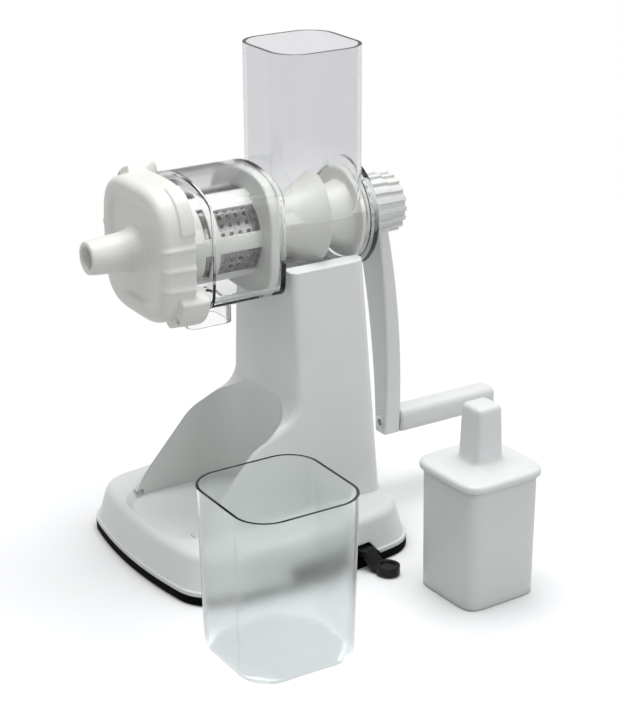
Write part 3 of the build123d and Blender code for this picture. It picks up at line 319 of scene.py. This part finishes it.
def closed_mesh(name, points, faces, smooth):
    """Mesh of these points and faces, with its doubles merged and its normals turned outwards."""
    mesh = bpy.data.meshes.new(name)
    mesh.from_pydata(points.tolist(), [], faces.tolist())
    work = bmesh.new()
    work.from_mesh(mesh)
    bmesh.ops.remove_doubles(work, verts=work.verts, dist=1e-6)
    bmesh.ops.recalc_face_normals(work, faces=work.faces)
    work.to_mesh(mesh)
    work.free()
    mesh.polygons.foreach_set("use_smooth", [smooth] * len(mesh.polygons))
    piece = bpy.data.objects.new(name, mesh)
    bpy.context.scene.collection.objects.link(piece)
    return piece


def quads_of(grid, loop):
    """Corners of the four-sided faces between neighbouring points of a grid of rows round the
    axis; the columns always join up, and the last row joins the first one in a loop."""
    rows = grid if not loop else np.concatenate([grid, grid[:1]])
    beside = np.roll(rows, -1, axis=1)
    return np.stack([rows[:-1], beside[:-1], beside[1:], rows[1:]], 2).reshape(-1, 4, 3)


def round_axis(radius, along, turn):
    """Points at a radius and an angle round the auger axis, at a place along it."""
    radius, along, turn = np.broadcast_arrays(radius, along, turn)
    return np.stack([radius * np.cos(turn), along, axis_height + radius * np.sin(turn)], -1)


def rounded_square(turn, half, power):
    """Radius of a superellipse, (|x/a|^p + |z/b|^p) = 1, in the direction of an angle."""
    parts = np.abs(np.cos(turn) / half[0]) ** power + np.abs(np.sin(turn) / half[1]) ** power
    return parts ** (-1 / power)


def slotted_cage(name):
    """Sleeve with windows. The wall is a grid of cells, each 1.5 degrees wide; a cell within a
    window's band and half angle is left out, and walls of the sheet's thickness close the edges
    of the others. The collar is a ring whose section is a rounded-off rectangle."""
    columns = 240
    stops = np.array([cage_ends[0], *window_bands[0], *window_bands[1], cage_ends[1]])
    edges = np.arange(columns + 1) * 2 * pi / columns
    middle = (edges[:-1] + edges[1:]) / 2
    share = np.mod(middle - window_middle + pi / window_count, 2 * pi / window_count)
    inside = np.abs(share - pi / window_count) < window_half
    solid = np.ones((len(stops) - 1, columns), bool)
    solid[1] = ~inside
    solid[3] = ~inside
    outer = round_axis(cage_skins[0], stops[:, None], edges[None, :])
    inner = round_axis(cage_skins[1], stops[:, None], edges[None, :])
    faces = []
    for skin in (outer, inner):
        cell = np.stack([skin[:-1, :-1], skin[:-1, 1:], skin[1:, 1:], skin[1:, :-1]], 2)
        faces.append(cell[solid])
    padded = np.pad(solid, ((1, 1), (0, 0)))
    row, column = np.nonzero(padded[1:] != padded[:-1])
    faces.append(
        np.stack(
            [outer[row, column], outer[row, column + 1], inner[row, column + 1], inner[row, column]], 1
        )
    )
    row, column = np.nonzero(solid != np.roll(solid, 1, axis=1))
    faces.append(
        np.stack(
            [outer[row, column], outer[row + 1, column], inner[row + 1, column], inner[row, column]], 1
        )
    )
    turn = np.arange(192) * 2 * pi / 192
    form = rounded_square(turn, collar_half, collar_power)
    root = np.full_like(form, cage_skins[1] + 0.0009)
    edge = 0.0012
    section = [
        (root, collar_ends[0]),
        (form - edge, collar_ends[0]),
        (form - edge * 0.3, collar_ends[0] + edge * 0.3),
        (form, collar_ends[0] + edge),
        (form, collar_ends[1] - edge),
        (form - edge * 0.3, collar_ends[1] - edge * 0.3),
        (form - edge, collar_ends[1]),
        (root, collar_ends[1]),
    ]
    ring = np.stack([round_axis(radius, np.full_like(turn, along), turn) for radius, along in section])
    faces.append(quads_of(ring, True))
    corners = np.concatenate(faces).reshape(-1, 3)
    return closed_mesh(name, corners, np.arange(len(corners)).reshape(-1, 4), False)


sleeve = slotted_cage("slotted_sleeve")
sleeve.data.materials.append(cage_white)
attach(sleeve, "stand")
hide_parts("screen_cage")

# The screen is a stainless sheet, punched with rows of round holes and rolled into a tube that
# slips into the cage: six fields of four rows and five columns, one behind each window.
screen_outer = 0.02535
screen_sheet = 0.0006
screen_ends = (-0.0024, 0.0435)
hole_size = 0.00138
hole_gap = 0.0056
field_count = window_count
field_first = window_middle
hole_rows = 4
hole_columns = 5
field_middle = 0.017
row_angle = 2 * pi / (field_count * (hole_rows + 1))


def punched_tube(name):
    """Tube with round holes. The sheet is cut into cells of one row angle by one hole gap. In a
    punched cell a point is (1 - t) * rim + t * border, where rim runs round the hole and border
    round the cell's outline; elsewhere the cell is plain. A sheet point (angle, along) rolls up
    to radius * (cos angle, sin angle) across the axis, on the outer and the inner radius, and the
    walls of the holes and the two ends join both skins."""
    turns = np.arange(16) * 2 * pi / 16
    rim = np.stack([np.cos(turns), np.sin(turns)], 1) * hole_size
    half = np.array([row_angle * screen_outer, hole_gap]) / 2
    reach = np.stack([np.cos(turns), np.sin(turns)], 1)
    border = reach / np.maximum(np.abs(reach[:, 0]), np.abs(reach[:, 1]))[:, None] * half
    cells = []
    first_row = field_first - row_angle * (hole_rows - 1) / 2
    for field in range(field_count):
        for row in range(hole_rows):
            for column in range(hole_columns):
                angle = first_row + field * 2 * pi / field_count + row * row_angle
                along = field_middle + (column - (hole_columns - 1) / 2) * hole_gap
                cells.append((angle * screen_outer, along))
    centres = np.array(cells)
    a = centres[:, None, :] + rim[None]
    b = centres[:, None, :] + border[None]
    following = np.roll(np.arange(16), -1)
    quads = np.stack([a, b, b[:, following], a[:, following]], 2).reshape(-1, 4, 2)
    walls = np.stack([a, a[:, following]], 2).reshape(-1, 2, 2)
    # plain sheet: blank strips between the fields, and bands in front of and behind the holes
    field_ends = (field_middle - hole_columns / 2 * hole_gap, field_middle + hole_columns / 2 * hole_gap)
    steps = np.arange(field_count * (hole_rows + 1) * 2) * row_angle / 2 + first_row - row_angle / 2
    plain = []
    for i, start in enumerate(steps):
        blank = (i // 2) % (hole_rows + 1) == hole_rows
        left, right = start * screen_outer, (start + row_angle / 2) * screen_outer
        bands = [(screen_ends[0], field_ends[0]), (field_ends[1], screen_ends[1])]
        if blank:
            bands.append(field_ends)
        for low, high in bands:
            plain.append([(left, low), (right, low), (right, high), (left, high)])
    plain = np.array(plain)
    edges = []
    for start in steps:
        left, right = start * screen_outer, (start + row_angle / 2) * screen_outer
        for end in screen_ends:
            edges.append([(left, end), (right, end)])
    edges = np.array(edges)

    def rolled(sheet, radius):
        angle = sheet[..., 0] / screen_outer
        return np.stack([radius * np.cos(angle), -sheet[..., 1], axis_height + radius * np.sin(angle)], -1)

    skins = np.concatenate([quads, plain])
    rims = np.concatenate([walls, edges])
    inner = screen_outer - screen_sheet
    outside = rolled(skins, screen_outer)
    inside = rolled(skins, inner)
    start, end = rims[:, 0], rims[:, 1]
    joins = np.stack(
        [
            rolled(start, screen_outer),
            rolled(end, screen_outer),
            rolled(end, inner),
            rolled(start, inner),
        ],
        1,
    )
    points = np.concatenate([outside, inside, joins]).reshape(-1, 3)
    return closed_mesh(name, points, np.arange(len(points)).reshape(-1, 4), False)


punched_screen = punched_tube("punched_screen")
punched_screen.data.materials.append(
    turned_steel("screen_steel", (0.17, 0.17, 0.165, 1), (0.36, 0.36, 0.35, 1), 0.26, 1)
)
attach(punched_screen, "stand")
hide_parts("screen")

# ---------------------------------------------------------------- auger and drive
# The auger is moulded in cream-white acetal round a steel rod: a coarse flight feeds the grass
# and a fine one presses it against the screen.
auger_cream = moulded_plastic(
    "auger_cream", (0.61, 0.62, 0.575, 1), (0.69, 0.70, 0.655, 1), 0.36, 0.05, 0.00005, 0.0006
)
feed_root = 0.0170
feed_crest = 0.0282
feed_pitch = 0.032
feed_middle = 0.045
feed_band = (0.0104, 0.0656)
disc_rear = 0.0682
journal = (0.0090, 0.0747)
press_root = 0.0200
press_crest = 0.0244
press_pitch = 0.018
press_land = 0.0026
press_band = (-0.054, 0.0036)
tip = (-0.068, 0.0065)
cone_rear = -0.057
shaft_hole = (0.0056, 0.028)


def smooth_step(value, low, high):
    """0 below low, 1 above high and t * t * (3 - 2 t) between them."""
    t = np.clip((value - low) / (high - low), 0, 1)
    return t * t * (3 - 2 * t)


def turned_auger(name):
    """Auger as a radius over the place along the axis and the angle round it. Feed part: root +
    (crest - root) * (1 - f) ^ 1.6, where f is the share of a pitch in front of the crest, whose
    place moves by one pitch per turn, so that a long cone rises to each crest and falls steeply
    behind it. Press part: a land of even height winds round the core. Disc, journal, cone and the
    hole for the shaft are plain turned forms."""
    turn = np.arange(176) * 2 * pi / 176
    along = np.concatenate(
        [np.linspace(tip[0], feed_band[0], 190), np.linspace(feed_band[0], disc_rear, 250)[1:]]
    )
    y, angle = np.meshgrid(along, turn, indexing="ij")
    crest = feed_middle + feed_pitch * angle / (2 * pi) - 0.0032 * np.sin(angle)
    share = np.mod((crest - y) / feed_pitch, 1.0)
    rise = np.clip((1 - share) / 0.96, 0, 1) ** 1.6 * smooth_step(share, -0.001, 0.035)
    rise *= smooth_step(y, feed_band[0], feed_band[0] + 0.006)
    feed = feed_root + (feed_crest - feed_root) * rise
    lane = (np.mod((y - press_pitch * angle / (2 * pi)) / press_pitch, 1.0) - 0.5) * press_pitch
    land = 1 - smooth_step(np.abs(lane), press_land / 2, press_land / 2 + 0.0009)
    land *= smooth_step(y, press_band[0], press_band[0] + 0.004)
    land *= 1 - smooth_step(y, press_band[1] - 0.002, press_band[1])
    press = press_root + (press_crest - press_root) * land
    press -= (press_root - feed_root) * smooth_step(y, press_band[1], feed_band[0])
    cone = tip[1] + (press_root - tip[1]) * np.clip((y - tip[0]) / (cone_rear - tip[0]), 0, 1)
    radius = np.where(y < feed_band[0], np.minimum(press, np.where(y < cone_rear, cone, press)), feed)
    disc = smooth_step(y, feed_band[1] - 0.0004, feed_band[1])
    radius = radius + (feed_crest - radius) * disc
    body = round_axis(radius, y, angle)
    plain = [(journal[0], disc_rear), (journal[0], journal[1]), (shaft_hole[0], journal[1])]
    plain += [(shaft_hole[0], shaft_hole[1]), (0.0, shaft_hole[1])]
    rear = np.stack([round_axis(r, np.full_like(turn, place), turn) for r, place in plain])
    front = round_axis(0.0, np.full_like(turn, tip[0]), turn)[None]
    corners = quads_of(np.concatenate([front, body, rear]), False).reshape(-1, 3)
    return closed_mesh(name, corners, np.arange(len(corners)).reshape(-1, 4), True)


screw = turned_auger("wound_auger")
screw.data.materials.append(auger_cream)
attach(screw, "crank")
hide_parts("auger")
rod_steel = turned_steel("rod_steel", (0.45, 0.45, 0.46, 1), (0.70, 0.70, 0.71, 1), 0.22, 1)
dress("drive_shaft", rod_steel)

# ---------------------------------------------------------------- end cap
# The end cap is moulded in warm white ABS: a tapered rounded square with a recessed face, grip
# ribs, two pads and two ears that hook over the lugs of the drum. A rubber ring seals it.
cap_white = moulded_plastic(
    "cap_white", (0.700, 0.710, 0.670, 1), (0.775, 0.785, 0.745, 1), 0.40, 0.05, 0.00006, 0.0010
)
cap_half = (0.0408, 0.0418)
cap_power = 3.4
cap_rear = -0.0545
cap_face = -0.0750
cap_draft = radians(5.0)
cap_round = 0.0055
cap_bore = (0.0368, -0.0662)
panel_inset = 0.0130
panel_deep = 0.0018
nozzle_form = (
    (0.0140, -0.0742), (0.0124, -0.0772), (0.0116, -0.0822), (0.0111, -0.0900), (0.0105, -0.0980)
)
nozzle_tip = (0.0098, -0.1040)
nozzle_bore = 0.0069
pad_turns = (radians(42.0), radians(222.0))
ear_turns = (radians(-46.0), radians(134.0))
ear_half = radians(17.0)
ear_rise = 0.0040
ear_ends = (-0.0460, -0.0640)
ear_hole = (0.0490, 0.0019)
rib_heights = (-0.0158, -0.0036, 0.0086)


def bump_round(turn, middle, half, soft):
    """1 within half of the middle angle, falling softly to 0 over the soft angle beyond it."""
    away = np.abs(np.mod(turn - middle + pi, 2 * pi) - pi)
    return 1 - smooth_step(away, half - soft / 2, half + soft / 2)


def moulded_cap(name):
    """Cap as rows of points round the axis that close into a ring: up the drafted side, round the
    edge, over the face and its recessed panel, along the nozzle and back inside. The side's
    radius is a superellipse that narrows with the draft, plus low pads, ears and ribs, each a
    soft-edged rise over a band of angles and places; a dent in each ear's front is its hole."""
    turn = np.arange(512) * 2 * pi / 512
    form = rounded_square(turn, cap_half, cap_power)
    ears = sum(bump_round(turn, middle, ear_half, radians(2.6)) for middle in ear_turns)
    pads = sum(bump_round(turn, middle, radians(20.0), radians(2.0)) for middle in pad_turns)
    flank = smooth_step(np.abs(np.cos(turn)), 0.70, 0.82)
    ribs = sum(np.exp(-(((form * np.sin(turn) - high) / 0.0017) ** 2)) for high in rib_heights)
    rear = cap_rear + (ear_ends[0] - cap_rear) * ears
    side_end = cap_face + cap_round
    rows = []

    def side(along):
        draft = (cap_rear - np.minimum(along, cap_rear)) * tan(cap_draft)
        ear = ears * ear_rise * smooth_step(along, ear_ends[1] - 0.0014, ear_ends[1])
        ear *= 1 - 0.35 * smooth_step(along, ear_ends[0] - 0.0015, ear_ends[0])
        pad = pads * 0.0012 * smooth_step(along, -0.0642, -0.0630)
        rib = flank * ribs * 0.0013 * smooth_step(along, -0.0745, -0.0715)
        return form - draft + ear + pad + rib

    rows.append((np.full_like(form, cap_bore[0]), rear))
    rows.append((side(rear) - 0.0010, rear))
    rows.append((side(rear) - 0.0003, rear - 0.0004))
    for share in np.linspace(0.0, 1.0, 30):
        along = (rear - 0.0012) * (1 - share) + (ear_ends[1] + 0.0008) * share
        rows.append((side(along), along))
    for along in np.linspace(ear_ends[1] + 0.0006, ear_ends[1] - 0.0018, 16):
        place = np.full_like(form, along)
        radius = side(place)
        flat_x = radius * np.cos(turn)
        flat_z = radius * np.sin(turn)
        for middle in ear_turns:
            off = np.hypot(flat_x - ear_hole[0] * cos(middle), flat_z - ear_hole[0] * sin(middle))
            place = place + 0.003 * (1 - smooth_step(off, ear_hole[1] * 0.6, ear_hole[1]))
        rows.append((radius, place))
    for along in np.linspace(ear_ends[1] - 0.0024, side_end, 8):
        rows.append((side(np.full_like(form, along)), np.full_like(form, along)))
    brim = side(np.full_like(form, side_end))
    for bend in np.linspace(0, pi / 2, 9)[1:]:
        rows.append(
            (brim - cap_round * (1 - cos(bend)), np.full_like(form, side_end - cap_round * sin(bend)))
        )
    shelf = form - (cap_rear - cap_face) * tan(cap_draft) - cap_round
    lip = form - panel_inset - 0.0006
    for share in (0.35, 0.7, 1.0):
        rows.append((shelf * (1 - share) + (lip + 0.0016) * share, np.full_like(form, cap_face)))
    for share in np.linspace(0, 1, 7)[1:]:
        deep = cap_face + panel_deep * share * share * (3 - 2 * share)
        rows.append((lip + 0.0016 - 0.0032 * share, np.full_like(form, deep)))
    inner = lip - 0.0016
    floor = cap_face + panel_deep
    for share in (0.25, 0.5, 0.72, 0.86, 0.94):
        rows.append((inner * (1 - share) + nozzle_form[0][0] * 1.04 * share, np.full_like(form, floor)))
    for radius, along in nozzle_form:
        rows.append((np.full_like(form, radius), np.full_like(form, along)))
    for radius, along in (
        (nozzle_tip[0], nozzle_tip[1] + 0.0008),
        (nozzle_tip[0] - 0.0003, nozzle_tip[1] + 0.0002),
        (nozzle_tip[0] - 0.0009, nozzle_tip[1]),
        (nozzle_bore + 0.0006, nozzle_tip[1]),
        (nozzle_bore, nozzle_tip[1] + 0.0006),
        (nozzle_bore, -0.0760),
        (0.0099, -0.0700),
        (0.0240, cap_bore[1]),
        (cap_bore[0], cap_bore[1]),
    ):
        rows.append((np.full_like(form, radius), np.full_like(form, along)))
    ring = np.stack([round_axis(radius, along, turn) for radius, along in rows])
    corners = quads_of(ring, True).reshape(-1, 3)
    return closed_mesh(name, corners, np.arange(len(corners)).reshape(-1, 4), True)


cap = moulded_cap("moulded_cap")
cap.data.materials.append(cap_white)
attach(cap, "cap")
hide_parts("end_cap")
dress("cap_seal", pad_rubber)

# ---------------------------------------------------------------- crank, grip and lock knob
# The crank is one glossy white moulding: a ribbed hub on the square of the shaft and a bowed arm.
dress(
    "crank_arm",
    moulded_plastic("crank_white", (0.69, 0.71, 0.70, 1), (0.765, 0.785, 0.77, 1), 0.34, 0.05, 0.00006, 0.0010),
)
dress("thrust_washer", rod_steel)
dress("grip_pin", rod_steel)
dress("grip_washer", rod_steel)

# The grip is a flattened bar of satin white plastic that turns on its pin.
grip_centre = 0.0540
grip_half = (0.0080, 0.0083)
grip_power = 3.4
grip_ends = (0.1108, 0.1876)
grip_bore = (0.0051, 0.1520)


def moulded_grip(name):
    """Bar with a rounded-square section (a superellipse) along Y: rounded over at its free end,
    slightly at the arm, with the blind bore for the pin in the end that faces the arm."""
    turn = np.arange(96) * 2 * pi / 96
    form = rounded_square(turn, grip_half, grip_power)
    near, far = grip_ends
    rows = [
        (0 * form, grip_bore[1]), (0 * form + grip_bore[0], grip_bore[1]), (0 * form + grip_bore[0], near)
    ]
    rows += [(form - 0.0016, near), (form - 0.0005, near + 0.0004), (form, near + 0.0016)]
    rows += [(form, along) for along in np.linspace(near + 0.006, far - 0.0075, 24)]
    rows += [
        (form - 0.0058 * (1 - cos(a)), far - 0.0058 + 0.0058 * sin(a)) for a in np.linspace(0, pi / 2, 10)
    ]
    rows.append((0 * form, far))
    ring = [
        np.stack(
            [radius * np.cos(turn), np.full_like(turn, along), grip_centre + radius * np.sin(turn)], -1
        )
        for radius, along in rows
    ]
    corners = quads_of(np.stack(ring), False).reshape(-1, 3)
    return closed_mesh(name, corners, np.arange(len(corners)).reshape(-1, 4), True)


bar = moulded_grip("moulded_grip")
bar.data.materials.append(
    moulded_plastic(
        "grip_white", (0.66, 0.675, 0.67, 1), (0.73, 0.745, 0.74, 1), 0.44, 0.05, 0.00008, 0.0010
    )
)
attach(bar, "hand_grip")
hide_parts("grip")

# The lock knob is a ribbed nut in warm white ABS, moulded round a brass thread.
dress(
    "lock_knob",
    moulded_plastic("knob_white", (0.70, 0.71, 0.69, 1), (0.78, 0.79, 0.765, 1), 0.40, 0.05, 0.00006, 0.0008),
)
dress("knob_insert", turned_steel("thread_brass", (0.45, 0.30, 0.12, 1), (0.72, 0.53, 0.26, 1), 0.3, 1))

# ---------------------------------------------------------------- juice cup
# The cup is a tumbler in clear plastic: polished outside and at the rim, frosted inside.
cup_clear = clear_moulding(
    "cup_clear", (0.870, 0.900, 0.895, 1), (0.90, 0.92, 0.92, 1), 0.24, 0.02, 0.080, 0.0975, 0.0003, 1.45
)
polish_outside(cup_clear, (0.1327, -0.0580, 0.0500), 0.03)
dress("cup", cup_clear)
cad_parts["cup"].visible_shadow = False

# ---------------------------------------------------------------- pusher
# The pusher is a hollow white box with a handle plate pressed into it.
pusher_white = moulded_plastic(
    "pusher_white", (0.66, 0.685, 0.68, 1), (0.735, 0.76, 0.752, 1), 0.44, 0.05, 0.00007, 0.0010
)
pusher_place = (0.1340, 0.0794)
pusher_yaw = radians(2.0)
box_power = 6.0
box_form = (
    (0.0, 0.0),
    (0.0238, 0.0),
    (0.0250, 0.0003),
    (0.0257, 0.0013),
    (0.0263, 0.0766),
    (0.0243, 0.0766),
    (0.0238, 0.0030),
    (0.0, 0.0030),
)
top_form = (
    (0.0, 0.0722, 6.0),
    (0.0240, 0.0722, 6.0),
    (0.0240, 0.0767, 6.0),
    (0.0277, 0.0767, 5.6),
    (0.0286, 0.0773, 5.4),
    (0.0289, 0.0786, 5.2),
    (0.0288, 0.0800, 5.2),
    (0.0283, 0.0811, 5.2),
    (0.0272, 0.0818, 5.0),
    (0.0258, 0.0819, 5.0),
    (0.0240, 0.0818, 5.0),
    (0.0200, 0.0825, 4.6),
    (0.0160, 0.0833, 4.6),
    (0.0125, 0.0841, 5.0),
    (0.0106, 0.0851, 5.4),
    (0.0100, 0.0866, 6.0),
    (0.0098, 0.0900, 6.0),
    (0.0090, 0.1150, 6.0),
    (0.0088, 0.1172, 6.0),
    (0.0083, 0.1184, 6.0),
    (0.0072, 0.1191, 6.0),
    (0.0040, 0.1194, 6.0),
    (0.0, 0.1195, 6.0),
)


def rounded_box(name, section):
    """Upright box of the pusher from its section: at each height a superellipse of a half width
    and a power, so that flat sides bow a little; the rows run from the axis round to the axis."""
    turn = np.arange(192) * 2 * pi / 192
    steps = []
    for (wide, low, power), (next_wide, high, next_power) in zip(section, section[1:]):
        shares = np.linspace(0, 1, 2 + int(abs(high - low) / 0.004))[:-1]
        steps += [
            (wide + (next_wide - wide) * t, low + (high - low) * t, power + (next_power - power) * t)
            for t in shares
        ]
    steps.append(section[-1])
    rows = []
    for wide, height, power in steps:
        radius = wide * rounded_square(turn, (1.0, 1.0), power)
        x = pusher_place[0] + radius * np.cos(turn + pusher_yaw)
        y = pusher_place[1] + radius * np.sin(turn + pusher_yaw)
        rows.append(np.stack([x, y, np.full_like(turn, height)], -1))
    corners = quads_of(np.stack(rows), False).reshape(-1, 3)
    return closed_mesh(name, corners, np.arange(len(corners)).reshape(-1, 4), True)


box = rounded_box("rounded_body", [(wide, height, box_power) for wide, height in box_form])
box.data.materials.append(pusher_white)
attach(box, "pusher")
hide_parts("pusher_body")
lid = rounded_box("rounded_top", top_form)
lid.data.materials.append(
    moulded_plastic(
        "handle_white", (0.69, 0.71, 0.71, 1), (0.76, 0.78, 0.78, 1), 0.42, 0.05, 0.00007, 0.0010
    )
)
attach(lid, "pusher")
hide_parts("pusher_top")

# ---------------------------------------------------------------- floor, light and camera
# A white studio table: it shows the object's soft shadow, and is dimmer to the light that it
# throws back at the object than to the eye.
table_reach = 3.0
ring = np.arange(64) * 2 * pi / 64
rim = np.stack([np.cos(ring) * table_reach, np.sin(ring) * table_reach, np.zeros(64)], 1)
table_mesh = bpy.data.meshes.new("table_top")
table_mesh.from_pydata(rim.tolist(), [], [list(range(64))])
table_top = bpy.data.objects.new("table_top", table_mesh)
bpy.context.scene.collection.objects.link(table_top)
table_white = bpy.data.materials.new("table_white")
table_white.use_nodes = True
tree = table_white.node_tree
tree.nodes.remove(tree.nodes["Principled BSDF"])
seen = tree.nodes.new("ShaderNodeBsdfDiffuse")
seen.inputs["Color"].default_value = (0.86, 0.865, 0.875, 1)
thrown = tree.nodes.new("ShaderNodeBsdfDiffuse")
thrown.inputs["Color"].default_value = (0.50, 0.50, 0.50, 1)
ray = tree.nodes.new("ShaderNodeLightPath")
either = tree.nodes.new("ShaderNodeMath")
either.operation = "MAXIMUM"
any_of = tree.nodes.new("ShaderNodeMath")
any_of.operation = "MAXIMUM"
tree.links.new(ray.outputs["Is Camera Ray"], either.inputs[0])
tree.links.new(ray.outputs["Is Glossy Ray"], either.inputs[1])
tree.links.new(either.outputs[0], any_of.inputs[0])
tree.links.new(ray.outputs["Is Transmission Ray"], any_of.inputs[1])
choice = tree.nodes.new("ShaderNodeMixShader")
tree.links.new(any_of.outputs[0], choice.inputs[0])
tree.links.new(thrown.outputs[0], choice.inputs[1])
# away from the object the table fades into plain white, which keeps the shadow near it
spot = tree.nodes.new("ShaderNodeTexCoord")
reach = tree.nodes.new("ShaderNodeVectorMath")
reach.operation = "LENGTH"
tree.links.new(spot.outputs["Object"], reach.inputs[0])
fade = tree.nodes.new("ShaderNodeMapRange")
fade.interpolation_type = "SMOOTHSTEP"
fade.inputs["From Min"].default_value = 0.20
fade.inputs["From Max"].default_value = 0.55
tree.links.new(reach.outputs["Value"], fade.inputs["Value"])
blank = tree.nodes.new("ShaderNodeEmission")
blank.inputs["Color"].default_value = (1.0, 1.0, 1.0, 1)
faded = tree.nodes.new("ShaderNodeMixShader")
tree.links.new(fade.outputs["Result"], faded.inputs[0])
tree.links.new(seen.outputs[0], faded.inputs[1])
tree.links.new(blank.outputs[0], faded.inputs[2])
tree.links.new(faded.outputs[0], choice.inputs[2])
tree.links.new(choice.outputs[0], tree.nodes["Material Output"].inputs["Surface"])
table_mesh.materials.append(table_white)

# A pale surround lights everything evenly; to the eye it is white.
surround = bpy.data.worlds.new("surround")
surround.use_nodes = True
bpy.context.scene.world = surround
tree = surround.node_tree
shine = tree.nodes["Background"]
shine.inputs["Color"].default_value = (1.0, 1.0, 1.0, 1)
shine.inputs["Strength"].default_value = 0.52
backdrop = tree.nodes.new("ShaderNodeBackground")
backdrop.inputs["Color"].default_value = (1.0, 1.0, 1.0, 1)
backdrop.inputs["Strength"].default_value = 1.0
ray = tree.nodes.new("ShaderNodeLightPath")
choice = tree.nodes.new("ShaderNodeMixShader")
tree.links.new(ray.outputs["Is Camera Ray"], choice.inputs[0])
tree.links.new(shine.outputs[0], choice.inputs[1])
tree.links.new(backdrop.outputs[0], choice.inputs[2])
tree.links.new(choice.outputs[0], tree.nodes["World Output"].inputs["Surface"])


def softbox(name, place, aim, width, height, power):
    """Rectangular lamp of this size at place, turned to face aim."""
    lamp = bpy.data.lights.new(name, "AREA")
    lamp.shape = "RECTANGLE"
    lamp.size = width
    lamp.size_y = height
    lamp.energy = power
    box = bpy.data.objects.new(name, lamp)
    box.location = place
    box.rotation_euler = (Vector(aim) - Vector(place)).to_track_quat("-Z", "Y").to_euler()
    bpy.context.scene.collection.objects.link(box)
    return box


softbox("overhead_lamp", (0.0, 0.1, 1.7), (0.04, 0.0, 0.1), 1.1, 1.1, 22.0)
softbox("side_lamp", (1.9, 0.9, 0.9), (0.04, 0.0, 0.12), 0.9, 0.9, 6.0)

# The camera stands where the photograph was taken from, at a little over a metre.
lens_azimuth = radians(58.32)
lens_elevation = radians(21.60)
lens_roll = radians(-0.346)
lens = bpy.data.cameras.new("camera")
lens.lens = 96.0
lens.sensor_width = 36.0
camera = bpy.data.objects.new("camera", lens)
turn = Matrix.Rotation(lens_azimuth, 4, "Z") @ Matrix.Rotation(pi / 2 - lens_elevation, 4, "X")
camera.matrix_world = Matrix.Translation((0.95928, -0.54645, 0.55292)) @ turn @ Matrix.Rotation(
    lens_roll, 4, "Z"
)
bpy.context.scene.collection.objects.link(camera)
bpy.context.scene.camera = camera
bpy.context.scene.view_settings.view_transform = "Standard"
